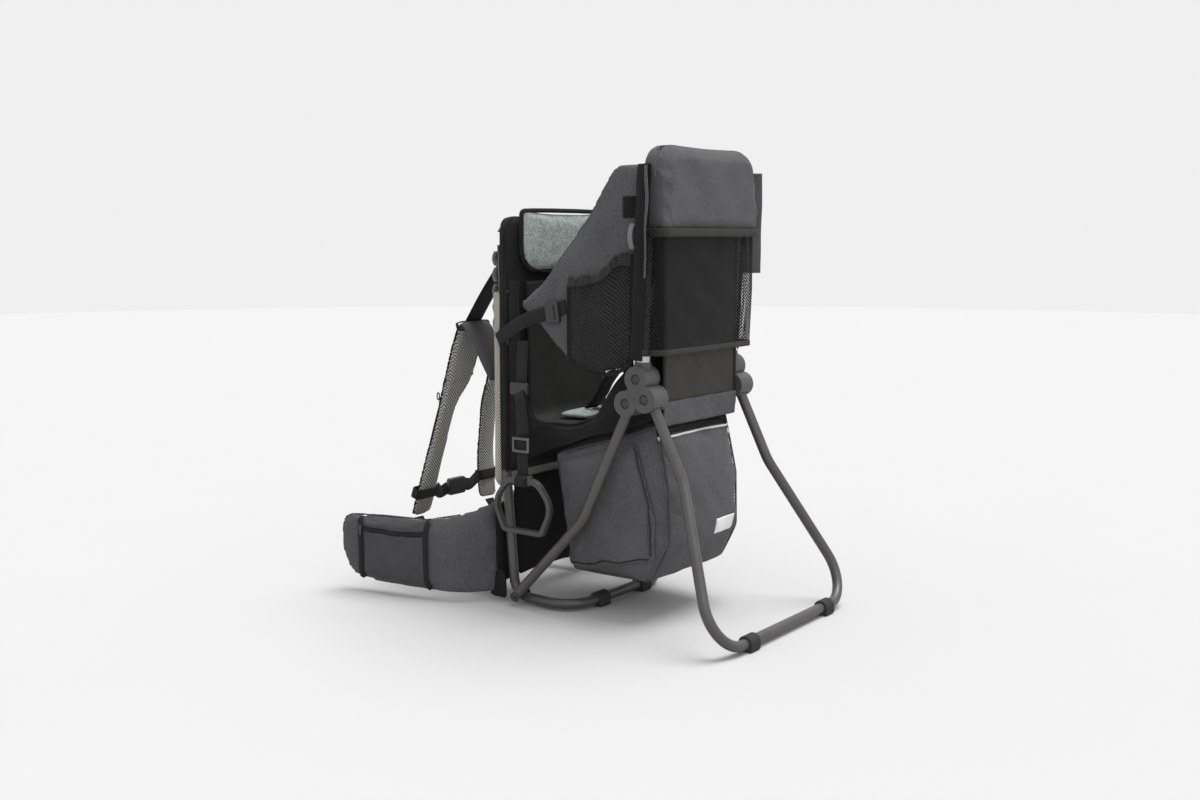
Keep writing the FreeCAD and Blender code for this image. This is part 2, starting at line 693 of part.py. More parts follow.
def build_bag():
    profile = [
        (24, 252, 18), (-13, 56, 16), (-178, 58, 30), (-213, 128, 40), (-210, 212, 60), (-185, 317, 10),
        (-110, 293, 60),
    ]
    bag = plate("storage_bag", "YZ_Plane", profile, "-sizes.bag_half_width", "2 * sizes.bag_half_width", "9")
    keep("storage_bag", bag)
    pocket = [(-34, 76, 16), (-158, 78, 22), (-158, 205, 14), (-58, 226, 14)]
    pocket_start = "-(sizes.bag_half_width + sizes.gap + sizes.bag_pocket_thickness)"
    side = plate("bag_pocket", "YZ_Plane", pocket, pocket_start, "sizes.bag_pocket_thickness", "2")
    both_sides("bag_side_pockets", side)
    keep("bag_label", block("bag_label"))
    keep("bag_zipper", block("bag_zipper"))
    pull = [(-98, 282, 2.5), (-93, 282, 2.5), (-92, 301, 2), (-99, 301, 2)]
    keep("bag_zip_pull", plate("bag_zip_pull", "XZ_Plane", pull, "194.6", "2"))


# ---------------------------------------------------------------- what the wearer puts on


def build_shoulder_straps():
    """Padded straps that narrow at the chest; the right one hangs further forward than the left."""
    across = Vector(1, 0, 0)
    webbing = size("webbing_width")
    thin = size("webbing_thickness")
    root = (129, 350)
    crest = (199, 455)
    hanging = (
        ("left", -1, [(246, 310), (320, 104)], [16, 300], 447.5),
        ("right", 1, [(328, 300), (339, 190), (330, 104)], [16, 80, 200], 457.0),
    )
    tails = []
    lifters = []
    for side, sign, drop, bends, lifter_foot in hanging:
        centre = sign * size("strap_centre")
        path = [Vector(centre, y, z) for y, z in [root, crest] + drop]
        full = strap(f"strap_{side}", path, bends, across, size("strap_width"), size("strap_thickness"))
        front_view = [(124, 95, 12), (70, 95, 12), (70, 300, 60), (46, 345, 60), (46, 470, 0), (124, 470, 0)]
        taper = [(sign * x, z, radius) for x, z, radius in front_view]
        silhouette = plate(f"strap_taper_{side}", "XZ_Plane", taper, "-360", "260")
        keep(f"shoulder_strap_{side}", common(f"strap_cut_{side}", full, silhouette))
        end_y, end_z = drop[-1]
        tail = [
            Vector(sign * 97, end_y + 1, end_z - 1), Vector(sign * 97, end_y - 35, end_z - 44),
            Vector(sign * 106, 113, 44),
        ]
        tails.append(strap(f"tail_{side}", tail, [40], across, webbing, thin))
        pull = [Vector(centre, 123, 545), Vector(centre, 198, lifter_foot)]
        lifters.append(strap(f"lifter_{side}", pull, [], across, size("lifter_width"), thin))
    for label, bands in (("strap_tails", tails), ("load_lifters", lifters)):
        pair = doc.addObject("Part::Compound", f"{label}_pair")
        pair.Links = bands
        keep(label, pair)

    upright = Vector(0, 0, 1)
    near_end = Vector(-68.8, 305, 150)
    near = strap("sternum_near", [near_end, Vector(-32.8, 312, 146)], [], upright, webbing, thin)
    far = strap("sternum_far", [Vector(10.8, 312, 146), Vector(68.8, 331, 150)], [], upright, webbing, thin)
    sternum = doc.addObject("Part::Compound", "sternum_webbing")
    sternum.Links = [near, far]
    keep("sternum_strap", sternum)
    clip = [(-31.6, 131, 5), (9.6, 131, 5), (9.6, 161, 5), (-31.6, 161, 5)]
    keep("sternum_buckle", plate("sternum_buckle", "XZ_Plane", clip, "-317", "10", "2.5"))


def build_hip_belt():
    """Hip wings that curve forward from the frame, each with a zipped pocket."""
    root = hip_root_at()
    bend_at = root + Vector(-48, 38, 0)
    along = Vector(-0.199, 0.98, 0)
    band = strap("hip_band", [root, bend_at, bend_at + along * 240], [75], Vector(0, 0, 1), 190,
                 size("belt_thickness"))
    side_view = [
        (95, 4, 8), (200, 4, 60), (300, 8, 60), (350, 20, 40), (size("belt_tip"), 70, 40),
        (size("belt_tip") - 4, 128, 36), (210, 137, 60), (150, 148, 60), (95, 174, 10),
    ]
    silhouette = plate("hip_silhouette", "YZ_Plane", side_view, "-260", "160")
    left_and_right("hip_wing", common("hip_wing", band, silhouette))

    offset = (size("belt_thickness") + size("belt_pocket_thickness")) / 2 + size("gap")
    outward = Vector(-0.98, -0.199, 0)
    pocket_start = bend_at + along * 50 + outward * offset + Vector(0, 0, -20)
    pocket_band = strap("pocket_band", [pocket_start, pocket_start + along * 132], [], Vector(0, 0, 1), 90,
                        size("belt_pocket_thickness"))
    left_and_right("hip_pocket", pocket_band)
    pull_outline = [(316, 97, 1.5), (321, 97, 1.5), (322, 113, 1.5), (315, 113, 1.5)]
    pull = plate("belt_zip_pull", "YZ_Plane", pull_outline, "-235.6", "1.8")
    left_and_right("belt_zip_pull", pull)


def build_stirrups():
    """A foot stirrup a side, hanging in a webbing loop below its adjuster."""
    outer = [(-5, 122, 12), (77, 122, 12), (98, 170, 34), (66, 212, 30), (5, 212, 30), (-26, 170, 34)]
    inner = [(1, 129, 6), (71, 129, 6), (92, 170, 30), (63, 203, 26), (8, 203, 26), (-20, 170, 30)]
    start = "-(sizes.stirrup_plane + sizes.stirrup_thickness / 2)"
    ring = plate("stirrup_outline", "YZ_Plane", outer, start, "sizes.stirrup_thickness", "1.5")
    hollow = plate("stirrup_hollow", "YZ_Plane", inner, f"{start} - 5", "sizes.stirrup_thickness + 10")
    left_and_right("stirrup", cut("stirrup", ring, hollow))

    bar = Vector(-size("stirrup_plane"), size("stirrup_bar_back"), size("stirrup_bar_height"))
    width = size("webbing_width")
    thin = size("webbing_thickness")
    turns = []
    for name, radius in (("loop_outer", "sizes.loop_radius + sizes.webbing_thickness"),
                         ("loop_inner", "sizes.loop_radius")):
        turn = doc.addObject("Part::Cylinder", name)
        turn.setExpression("Radius", radius)
        turn.setExpression("Height", "sizes.webbing_width")
        turn.Placement = Placement(bar - Vector(0, width / 2, 0), Rotation(Vector(0, 0, 1), Vector(0, 1, 0)))
        turns.append(turn)
    loop = cut("webbing_loop", *turns)
    loop_top = bar + Vector(0, 0, size("loop_radius") + thin / 2)
    hanging = [Vector(-134.5, 49, 424), Vector(-147, 43, 330), loop_top]
    band = strap("stirrup_band", hanging, [200], Vector(0, 1, 0), width, thin)
    both_sides("stirrup_webbing", fused("stirrup_webbing", [band, loop]))

    lock = [(27, 341, 2.5), (61, 341, 2.5), (61, 360, 2.5), (27, 360, 2.5)]
    both_sides("stirrup_locks", plate("stirrup_lock", "YZ_Plane", lock, "-153", "6.2", "1.5"))
    frame_outline = [(22, 251, 3), (56, 251, 3), (56, 275, 3), (22, 275, 3)]
    frame_hollow = [(26, 255, 2), (52, 255, 2), (52, 271, 2), (26, 271, 2)]
    frame = plate("slide_ring", "YZ_Plane", frame_outline, "-154.6", "2.6", "0.8")
    opening = plate("slide_ring_hollow", "YZ_Plane", frame_hollow, "-160", "12")
    both_sides("slide_rings", cut("slide_ring_open", frame, opening))


def build_wing_straps():
    """Webbing and slider that pull each side wing towards the back panel."""
    slider = [(-24, 456, 3), (1, 452, 3), (6, 484, 3), (-19, 488, 3)]
    start = "-(sizes.wing_inner + sizes.wing_thickness + sizes.gap + 7)"
    both_sides("wing_sliders", plate("wing_slider", "YZ_Plane", slider, start, "7", "1.5"))
    path = [Vector(-131.5, 7, 468), Vector(-138.6, 52, 452), Vector(-138.8, 98, 424)]
    upright = Vector(0, 0.3, 1)
    band = strap("wing_strap", path, [60], upright, size("webbing_width"), size("webbing_thickness"))
    both_sides("wing_straps", band)


# ---------------------------------------------------------------- building and checking


def check_document():
    doc.recompute()
    for item in doc.Objects:
        faults = [state for state in item.State if state in ("Invalid", "Error")]
        if faults:
            raise RuntimeError(f"{item.Label} ({item.Name}) is {faults}")
    for label, piece in pieces.items():
        shape = piece.Shape
        if shape.isNull() or not shape.isValid() or shape.Volume <= 0:
            raise RuntimeError(f"{label} has no valid solid")


def write_parts():
    os.makedirs("parts", exist_ok=True)
    for label, piece in pieces.items():
        piece.Shape.exportStep(f"parts/{label}.step")


def main():
    fill_sheet()
    bars = build_tubes()
    build_kickstand()
    build_hubs(bars)
    build_fasteners(bars)
    build_back(bars)
    build_seat(bars)
    build_harness()
    build_bag()
    build_shoulder_straps()
    build_hip_belt()
    build_stirrups()
    build_wing_straps()
    check_document()
    write_parts()
    print(len(pieces), "nodes")


main()
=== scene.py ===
"""Looks of the baby carrier backpack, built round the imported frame. Lengths in the tables are millimetres."""

import math

import bmesh
import bpy
import numpy as np
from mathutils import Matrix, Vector
from mathutils.bvhtree import BVHTree


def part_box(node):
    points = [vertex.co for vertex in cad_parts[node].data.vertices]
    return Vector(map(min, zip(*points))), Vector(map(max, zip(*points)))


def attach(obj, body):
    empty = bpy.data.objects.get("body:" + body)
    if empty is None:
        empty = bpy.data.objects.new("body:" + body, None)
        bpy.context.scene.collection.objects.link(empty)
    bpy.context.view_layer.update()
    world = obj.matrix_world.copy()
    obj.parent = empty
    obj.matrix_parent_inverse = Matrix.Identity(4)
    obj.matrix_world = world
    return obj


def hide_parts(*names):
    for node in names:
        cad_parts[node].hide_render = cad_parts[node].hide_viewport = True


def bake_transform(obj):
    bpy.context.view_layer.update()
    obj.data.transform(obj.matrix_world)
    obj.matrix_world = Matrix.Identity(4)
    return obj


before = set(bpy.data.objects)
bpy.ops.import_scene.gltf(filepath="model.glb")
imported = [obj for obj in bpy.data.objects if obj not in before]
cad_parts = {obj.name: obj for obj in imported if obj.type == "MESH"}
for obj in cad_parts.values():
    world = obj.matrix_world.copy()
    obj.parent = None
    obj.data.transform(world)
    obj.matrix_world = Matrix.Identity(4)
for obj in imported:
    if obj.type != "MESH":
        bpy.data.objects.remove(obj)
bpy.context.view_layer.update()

MM = 0.001
SIM_FRAMES = 20
WEBBING_WIDTH = 22.0
WEBBING_THICKNESS = 1.6


# ---------------------------------------------------------------- small helpers


def box_mm(node):
    """Lowest and highest corner of a CAD node, in millimetres."""
    low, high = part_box(node)
    return low / MM, high / MM


def travel(points):
    """The distance along a run of points at each of them."""
    return np.concatenate([[0], np.cumsum(np.linalg.norm(np.diff(points, axis=0), axis=1))])


def sample(at, steps, values):
    """The rows of values, which lie at steps, read at one or more other distances."""
    return np.stack([np.interp(at, steps, values[:, k]) for k in range(values.shape[1])], axis=-1)


def looped(points):
    """The same run of points, ending where it starts."""
    return points + points[:1]


def turned(here, before, after, reach, steps):
    """Points of a soft turn at here, between the runs that leave it along before and after."""
    start = here + before.normalized() * reach
    end = here + after.normalized() * reach
    shares = [k / steps for k in range(steps + 1)]
    return [start.lerp(here, t).lerp(here.lerp(end, t), t) for t in shares]


def rounded(corners, steps=6):
    """Closed outline through (u, v, radius) corners, each corner eased by its radius."""
    points = []
    for i, (u, v, radius) in enumerate(corners):
        here = Vector((u, v))
        if radius <= 0:
            points.append(here)
            continue
        before = Vector(corners[i - 1][:2]) - here
        after = Vector(corners[(i + 1) % len(corners)][:2]) - here
        reach = radius / math.tan(before.angle(after) / 2)
        reach = min(reach, before.length / 2, after.length / 2)
        points += turned(here, before, after, reach, steps)
    return [(p.x, p.y) for p in points]


def inset(outline, distance):
    """The outline moved inwards by a small distance."""
    area = sum(a[0] * b[1] - b[0] * a[1] for a, b in zip(outline, outline[1:] + outline[:1]))
    turn = 1 if area > 0 else -1
    moved = []
    for i, (u, v) in enumerate(outline):
        before = outline[i - 1]
        after = outline[(i + 1) % len(outline)]
        run = Vector((after[0] - before[0], after[1] - before[1])).normalized()
        moved.append((u - run.y * distance * turn, v + run.x * distance * turn))
    return moved


def smooth_run(points, count):
    """Evenly spaced points on a Catmull-Rom curve through the given ones."""
    given = np.array([tuple(p) for p in points], float)
    ends = np.vstack([2 * given[0] - given[1], given, 2 * given[-1] - given[-2]])
    dense = []
    for i in range(1, len(ends) - 2):
        a, b, c, d = ends[i - 1:i + 3]
        for t in np.linspace(0, 1, 24, endpoint=False):
            dense.append(0.5 * (2 * b + (c - a) * t + (2 * a - 5 * b + 4 * c - d) * t ** 2
                                + (3 * b - a - 3 * c + d) * t ** 3))
    dense.append(given[-1])
    dense = np.array(dense)
    steps = travel(dense)
    where = np.linspace(0, steps[-1], count)
    return sample(where, steps, dense)


def bent_run(corners, radii, steps=10):
    """Points of straight runs joined by arcs, one radius for each inner corner."""
    points = [Vector(corners[0])]
    for i, radius in enumerate(radii, 1):
        here = Vector(corners[i])
        before = Vector(corners[i - 1]) - here
        after = Vector(corners[i + 1]) - here
        reach = radius / math.tan(before.angle(after) / 2)
        points += turned(here, before, after, reach, steps)
    points.append(Vector(corners[-1]))
    return np.array([tuple(p) for p in points])


def run_place(points, across, lift=0.0):
    """place(u, v, t): u along a run of points, v across it, t off its surface."""
    steps = travel(points)
    dense_at = np.linspace(0, steps[-1], 400)
    dense = sample(dense_at, steps, points)
    tangents = np.gradient(dense, axis=0)
    kernel = np.ones(9) / 9
    padded_t = np.pad(tangents, ((4, 4), (0, 0)), mode="edge")
    tangents = np.column_stack([np.convolve(padded_t[:, k], kernel, "valid") for k in range(3)])
    tangents /= np.linalg.norm(tangents, axis=1)[:, None]
    normals = np.cross(tangents, np.array(across, float))
    normals /= np.linalg.norm(normals, axis=1)[:, None]

    def place(u, v, t):
        inside = np.clip(u, 0, steps[-1])
        at = sample(inside, dense_at, dense)
        along = sample(inside, dense_at, tangents)
        off = sample(inside, dense_at, normals)
        at = at + along * (u - inside)[:, None] + off * (t + lift)[:, None]
        return at + np.outer(v, across)

    place.length = steps[-1]
    return place


def facing_back(y):
    """place for a panel across the carrier whose t grows towards the rear."""
    return lambda u, v, t: np.column_stack([u, y - t, v])


def facing_front(y):
    """place for a panel across the carrier whose t grows towards the front."""
    return lambda u, v, t: np.column_stack([u, y + t, v])


def facing_left(x):
    """place for a panel along the carrier's left side, u along Y, t outwards."""
    return lambda u, v, t: np.column_stack([x - t, u, v])


def ripple(u, v, length, seed):
    """Soft irregular waves from -1 to 1."""
    a = np.sin(u / length * 2.1 + seed) * np.cos(v / length * 1.3 + seed * 2.3)
    b = np.sin((u + v) / length * 3.7 + seed * 1.7) * 0.5
    c = np.sin((u - 1.6 * v) / length * 5.3 + seed * 3.1) * 0.25
    return (a + b + c) / 1.75


def bump_at(u, v, centre, size):
    """A soft mound of height 1 round a centre."""
    return np.exp(-((u - centre[0]) / size[0]) ** 2 - ((v - centre[1]) / size[1]) ** 2)


def distance_to(u, v, line):
    """Distance of each (u, v) from a line of points."""
    best = np.full(len(u), 1e9)
    for (a, b), (c, d) in zip(line, line[1:]):
        length = (c - a) ** 2 + (d - b) ** 2
        t = np.clip(((u - a) * (c - a) + (v - b) * (d - b)) / max(length, 1e-9), 0, 1)
        best = np.minimum(best, np.hypot(u - a - t * (c - a), v - b - t * (d - b)))
    return best


# ---------------------------------------------------------------- meshes


def coordinates(piece):
    points = np.zeros(len(piece.data.vertices) * 3)
    piece.data.vertices.foreach_get("co", points)
    return points.reshape(-1, 3)


def set_coordinates(piece, points):
    piece.data.vertices.foreach_set("co", points.astype(np.float32).ravel())
    piece.data.update()


def new_piece(name, mesh):
    piece = bpy.data.objects.new(name, mesh)
    bpy.context.scene.collection.objects.link(piece)
    return piece


def from_bmesh(name, shape):
    mesh = bpy.data.meshes.new(name)
    bmesh.ops.recalc_face_normals(shape, faces=shape.faces)
    shape.to_mesh(mesh)
    shape.free()
    return new_piece(name, mesh)


def baked(piece):
    """Applies the piece's modifiers."""
    graph = bpy.context.evaluated_depsgraph_get()
    mesh = bpy.data.meshes.new_from_object(piece.evaluated_get(graph))
    piece.modifiers.clear()
    piece.data = mesh
    return piece


def smoothed(piece):
    for face in piece.data.polygons:
        face.use_smooth = True
    return piece


def swell(piece, cap, pressure=4.0):
    """Blows the piece up a little as cloth, no point moving further than cap metres."""
    scene = bpy.context.scene
    start = coordinates(piece)
    cloth = piece.modifiers.new("Cloth", "CLOTH")
    cloth.settings.use_pressure = True
    cloth.settings.uniform_pressure_force = pressure
    cloth.settings.effector_weights.gravity = 0
    cloth.collision_settings.use_collision = False
    for number in range(1, SIM_FRAMES + 1):
        scene.frame_set(number)
    graph = bpy.context.evaluated_depsgraph_get()
    grown = piece.evaluated_get(graph).to_mesh()
    end = np.zeros(len(grown.vertices) * 3)
    grown.vertices.foreach_get("co", end)
    moved = end.reshape(-1, 3) - start
    moved -= moved.mean(axis=0)
    far = np.linalg.norm(moved, axis=1)
    moved *= (cap * np.tanh(far / cap) / np.maximum(far, 1e-9))[:, None]
    piece.modifiers.remove(cloth)
    scene.frame_set(1)
    set_coordinates(piece, start + moved)


def signed_volume(mesh):
    total = 0.0
    mesh.calc_loop_triangles()
    for triangle in mesh.loop_triangles:
        a, b, c = (mesh.vertices[i].co for i in triangle.vertices)
        total += a.dot(b.cross(c))
    return total


def pad(name, outline, thickness, place, materials, cap=5.0, voxel=6.0, seams=(), folds=None, split=None):
    """A padded body: a flat blank of the outline, swollen as cloth, with sewn lines, then put in place.

    seams are (line, width, depth, side) with side 1, -1 or 0 for both faces; folds(u, v, t) adds to t.
    materials are one, or two for the faces at positive and negative t; split(u, v, t) picks the second.
    """
    blank_thickness = max(thickness - 1.6 * cap, thickness * 0.45)
    blank = inset(outline, cap * 0.5)
    shape = bmesh.new()
    low = [shape.verts.new((u * MM, v * MM, -blank_thickness / 2 * MM)) for u, v in blank]
    high = [shape.verts.new((u * MM, v * MM, blank_thickness / 2 * MM)) for u, v in blank]
    shape.faces.new(low)
    shape.faces.new(high)
    for i in range(len(blank)):
        shape.faces.new((low[i - 1], low[i], high[i], high[i - 1]))
    piece = from_bmesh(name, shape)
    remesh = piece.modifiers.new("Remesh", "REMESH")
    remesh.mode = "VOXEL"
    remesh.voxel_size = voxel * MM
    baked(piece)
    swell(piece, cap * MM)
    piece.modifiers.new("Subdivision", "SUBSURF").levels = 1
    baked(piece)
    u, v, t = (coordinates(piece) / MM).T
    side = np.sign(t)
    for line, width, depth, face in seams:
        reach = np.exp(-(distance_to(u, v, line) / width) ** 2)
        chosen = np.ones(len(t)) if face == 0 else (side == face)
        t = t - side * depth * reach * chosen
    if folds is not None:
        t = t + folds(u, v, t)
    piece.data.materials.clear()
    for material in materials:
        piece.data.materials.append(material)
    if len(materials) > 1:
        second = (split(u, v, t) if split else t < 0).astype(int)
        for face in piece.data.polygons:
            face.material_index = int(round(sum(second[i] for i in face.vertices) / len(face.vertices)))
    set_coordinates(piece, place(u, v, t) * MM)
    if signed_volume(piece.data) < 0:
        piece.data.flip_normals()
    return smoothed(piece)


def cloth_sheet(name, place, size, cells, material, thickness=1.2, offset=0.0):
    """A sheet of cloth: place(u, v) for u and v from 0 to 1 gives its points; its UVs are in metres."""
    columns, rows = cells
    u, v = np.meshgrid(np.linspace(0, 1, columns + 1), np.linspace(0, 1, rows + 1))
    points = place(u.ravel(), v.ravel()) * MM
    faces = []
    for row in range(rows):
        for column in range(columns):
            first = row * (columns + 1) + column
            faces.append((first, first + 1, first + columns + 2, first + columns + 1))
    mesh = bpy.data.meshes.new(name)
    mesh.from_pydata(points.tolist(), [], faces)
    layer = mesh.uv_layers.new(name="cloth")
    flat_u, flat_v = u.ravel() * size[0] * MM, v.ravel() * size[1] * MM
    for loop in mesh.loops:
        layer.data[loop.index].uv = (flat_u[loop.vertex_index], flat_v[loop.vertex_index])
    mesh.materials.append(material)
    piece = new_piece(name, mesh)
    if thickness > 0:
        solid = piece.modifiers.new("Thickness", "SOLIDIFY")
        solid.thickness = thickness * MM
        solid.offset = offset
        baked(piece)
    return smoothed(piece)


def swept(name, points, section, ups, material, closed=False):
    """A mesh swept along points in millimetres; section is (across, up) pairs, ups the up direction."""
    points = np.array(points, float)
    ups = np.broadcast_to(np.array(ups, float), points.shape)
    if closed:
        tangents = np.roll(points, -1, axis=0) - np.roll(points, 1, axis=0)
    else:
        tangents = np.gradient(points, axis=0)
    tangents /= np.linalg.norm(tangents, axis=1)[:, None]
    sides = np.cross(tangents, ups)
    sides /= np.maximum(np.linalg.norm(sides, axis=1), 1e-9)[:, None]
    true_ups = np.cross(sides, tangents)
    count = len(section)
    rings = [p + s * a + w * b for p, s, w in zip(points, sides, true_ups) for a, b in section]
    faces = []
    loops = len(points) if closed else len(points) - 1
    for i in range(loops):
        here, there = i * count, (i + 1) % len(points) * count
        for k in range(count):
            after = (k + 1) % count
            faces.append((here + k, here + after, there + after, there + k))
    if not closed:
        faces.append(tuple(range(count))[::-1])
        faces.append(tuple(len(rings) - count + k for k in range(count)))
    mesh = bpy.data.meshes.new(name)
    mesh.from_pydata((np.array(rings) * MM).tolist(), [], faces)
    layer = mesh.uv_layers.new(name="cloth")
    steps = travel(points)
    for loop in mesh.loops:
        ring, k = divmod(loop.vertex_index, count)
        layer.data[loop.index].uv = (section[k][0] * MM, steps[ring] * MM)
    mesh.materials.append(material)
    piece = new_piece(name, mesh)
    if signed_volume(mesh) < 0:
        mesh.flip_normals()
    return smoothed(piece)


def round_section(radius, sides=8):
    return [(radius * math.cos(2 * math.pi * k / sides), radius * math.sin(2 * math.pi * k / sides))
            for k in range(sides)]


def flat_section(width, thickness):
    """A band's section: flat faces with softly rounded edges."""
    half, edge = width / 2, thickness / 2
    return [(-half, 0), (-half + edge * 0.6, edge), (-half / 3, edge), (half / 3, edge),
            (half - edge * 0.6, edge), (half, 0), (half - edge * 0.6, -edge), (half / 3, -edge),
            (-half / 3, -edge), (-half + edge * 0.6, -edge)]


def band(name, points, ups, material, width=WEBBING_WIDTH, thickness=WEBBING_THICKNESS, count=0):
    """A flat strap of webbing or tape along points."""
    if count:
        points = smooth_run(points, count)
    return swept(name, points, flat_section(width, thickness), ups, material)


def cord_line(name, points, radius, material, closed=False, up=(0.3, 0.2, 1)):
    """A round piping or cord along points."""
    return swept(name, points, round_section(radius), up, material, closed)


def on_surface(piece, points, lift, toward=None):
    """The points moved onto the piece, lifted off it by lift millimetres, and its normals there.

    With toward given, each point moves along that direction; otherwise to the nearest place.
    """
    tree = BVHTree.FromObject(piece, bpy.context.evaluated_depsgraph_get())
    moved, normals = [], []
    for point in points:
        place = None
        if toward is not None:
            place, normal, _, _ = tree.ray_cast(Vector(point) * MM, Vector(toward))
        if place is None:
            place, normal, _, _ = tree.find_nearest(Vector(point) * MM)
        moved.append(np.array(place / MM + normal * lift))
        normals.append(np.array(normal))
    return np.array(moved), np.array(normals)


def eased(points, passes=2, closed=False):
    """The same run of points with small jogs smoothed out."""
    points = np.array(points, float)
    for _ in range(passes):
        if closed:
            points = (np.roll(points, 1, axis=0) + 2 * points + np.roll(points, -1, axis=0)) / 4
        else:
            points[1:-1] = (points[:-2] + 2 * points[1:-1] + points[2:]) / 4
    return points


def stitches(name, points, normals, material, length=3.2, gap=2.0, radius=0.38):
    """A row of short raised stitches along points on a surface."""
    steps = travel(points)
    shape = bmesh.new()
    at = gap
    while at + length < steps[-1]:
        ends = [sample(s, steps, points) for s in (at, at + length)]
        up = sample(at, steps, normals)
        run = ends[1] - ends[0]
        run /= np.linalg.norm(run)
        side = np.cross(run, up)
        side /= max(np.linalg.norm(side), 1e-9)
        rings = []
        for end, wide in ((0, 0.4), (0.5, 1.0), (1, 0.4)):
            centre = ends[0] + (ends[1] - ends[0]) * end + up * radius * 0.4
            rings.append([shape.verts.new((centre + side * a * wide * radius + up * b * wide * radius) * MM)
                          for a, b in ((1, 0), (0, 1), (-1, 0), (0, -1))])
        for first, second in zip(rings, rings[1:]):
            for k in range(4):
                shape.faces.new((first[k], first[(k + 1) % 4], second[(k + 1) % 4], second[k]))
        shape.faces.new(rings[0][::-1])
        shape.faces.new(rings[-1])
        at += length + gap
    piece = from_bmesh(name, shape)
    piece.data.materials.append(material)
    return smoothed(piece)


def laid(name, host, line, section, look, lift, passes=2, closed=False, toward=None):
    """A strip or cord that follows a line on a host piece."""
    points, normals = on_surface(host, line, lift, toward)
    return swept(name, eased(points, passes, closed), section, normals, LOOK[look], closed)


def sewn(name, host, line, look, lift, *size):
    """A row of stitches that follows a line on a host piece."""
    points, normals = on_surface(host, line, lift)
    return stitches(name, points, normals, LOOK[look], *size)


def zip_teeth(name, points, normals, material, pitch=2.4, reach=2.2):
    """Two interlocking rows of small teeth along a closed zip."""
    steps = travel(points)
    shape = bmesh.new()
    for number in range(int(steps[-1] / pitch)):
        at = (number + 0.5) * pitch
        centre = sample(at, steps, points)
        ahead = sample(at + 0.5, steps, points)
        up = sample(at, steps, normals)
        run = (ahead - centre) / max(np.linalg.norm(ahead - centre), 1e-9)
        side = np.cross(run, up)
        side /= max(np.linalg.norm(side), 1e-9)
        for turn in (1, -1):
            middle = centre + side * turn * reach * 0.42 + run * pitch * 0.25 * turn
            corners = []
            for lift, share in ((0, 1.0), (0.75, 0.6)):
                for a, b in ((1, 1), (-1, 1), (-1, -1), (1, -1)):
                    corner = middle + side * a * reach * 0.5 * share + run * b * pitch * 0.3 * share
                    corners.append(shape.verts.new((corner + up * lift) * MM))
            shape.faces.new(corners[4:])
            for k in range(4):
                shape.faces.new((corners[k], corners[(k + 1) % 4], corners[4 + (k + 1) % 4], corners[4 + k]))
            shape.faces.new(corners[:4][::-1])
    piece = from_bmesh(name, shape)
    piece.data.materials.append(material)
    return piece


def mirrored(piece):
    """A right-hand copy of a left-hand piece."""
    mesh = piece.data.copy()
    other = new_piece(piece.name.replace("left", "right"), mesh)
    points = coordinates(other)
    points[:, 0] *= -1
    set_coordinates(other, points)
    mesh.flip_normals()
    return other


def add(piece, slot, body="frame", nodes=(), fill=None, flat=None, held="stretched", rests_on=(), blend=None):
    """Puts a finished piece on its body (with blend, bakes it where it stands) and hides the nodes it stands
    for; its finish slot and its kind are not used.
    """
    if blend:
        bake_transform(piece)
    else:
        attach(piece, body)
    if nodes:
        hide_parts(*nodes)
    return piece


def add_pair(piece, slot, body="frame", nodes=(), blend=None, **kind):
    """The same for a left-hand piece and its mirror image."""
    other = mirrored(piece)
    add(piece, slot, body, nodes, blend=blend, **kind)
    right_nodes = [node.replace("left", "right") for node in nodes]
    right_blend = blend and [(-point[0], point[1], point[2]) for point in blend]
    add(other, slot, body.replace("left", "right"), right_nodes, blend=right_blend, **kind)
    return piece, other


WEBBING = flat_section(WEBBING_WIDTH, WEBBING_THICKNESS)


# ---------------------------------------------------------------- materials


def node(tree, kind, inputs=None, **settings):
    made = tree.nodes.new(kind)
    for key, value in settings.items():
        setattr(made, key, value)
    for key, value in (inputs or {}).items():
        if isinstance(value, bpy.types.NodeSocket):
            tree.links.new(value, made.inputs[key])
        else:
            made.inputs[key].default_value = value
    return made


def calc(tree, operation, a, b=0.0, c=0.0):
    return node(tree, "ShaderNodeMath", {0: a, 1: b, 2: c}, operation=operation).outputs[0]


def blend_number(tree, share, a, b):
    mix = node(tree, "ShaderNodeMix", {0: share, 2: a, 3: b})
    return mix.outputs[0]


def blend_colour(tree, share, a, b):
    mix = node(tree, "ShaderNodeMix", {0: share, 6: (*a, 1), 7: (*b, 1)}, data_type="RGBA")
    return mix.outputs[2]


def noise(tree, scale, detail=2.0, rough=0.5, vector=None):
    inputs = {"Scale": scale, "Detail": detail, "Roughness": rough}
    where = vector or node(tree, "ShaderNodeTexCoord").outputs["Object"]
    return node(tree, "ShaderNodeTexNoise", {"Vector": where, **inputs}).outputs["Fac"]


def start_material(name, roughness, metallic=0.0, sheen=0.0, specular=0.3, coat=0.0):
    material = bpy.data.materials.new(name)
    material.use_nodes = True
    tree = material.node_tree
    shader = tree.nodes["Principled BSDF"]
    shader.inputs["Roughness"].default_value = roughness
    shader.inputs["Metallic"].default_value = metallic
    shader.inputs["Sheen Weight"].default_value = sheen
    shader.inputs["Sheen Roughness"].default_value = 0.4
    shader.inputs["Specular IOR Level"].default_value = specular
    shader.inputs["Coat Weight"].default_value = coat
    return material, tree, shader


def set_bump(tree, shader, height, strength, distance):
    bump = node(tree, "ShaderNodeBump", {"Height": height, "Strength": strength, "Distance": distance})
    tree.links.new(bump.outputs["Normal"], shader.inputs["Normal"])


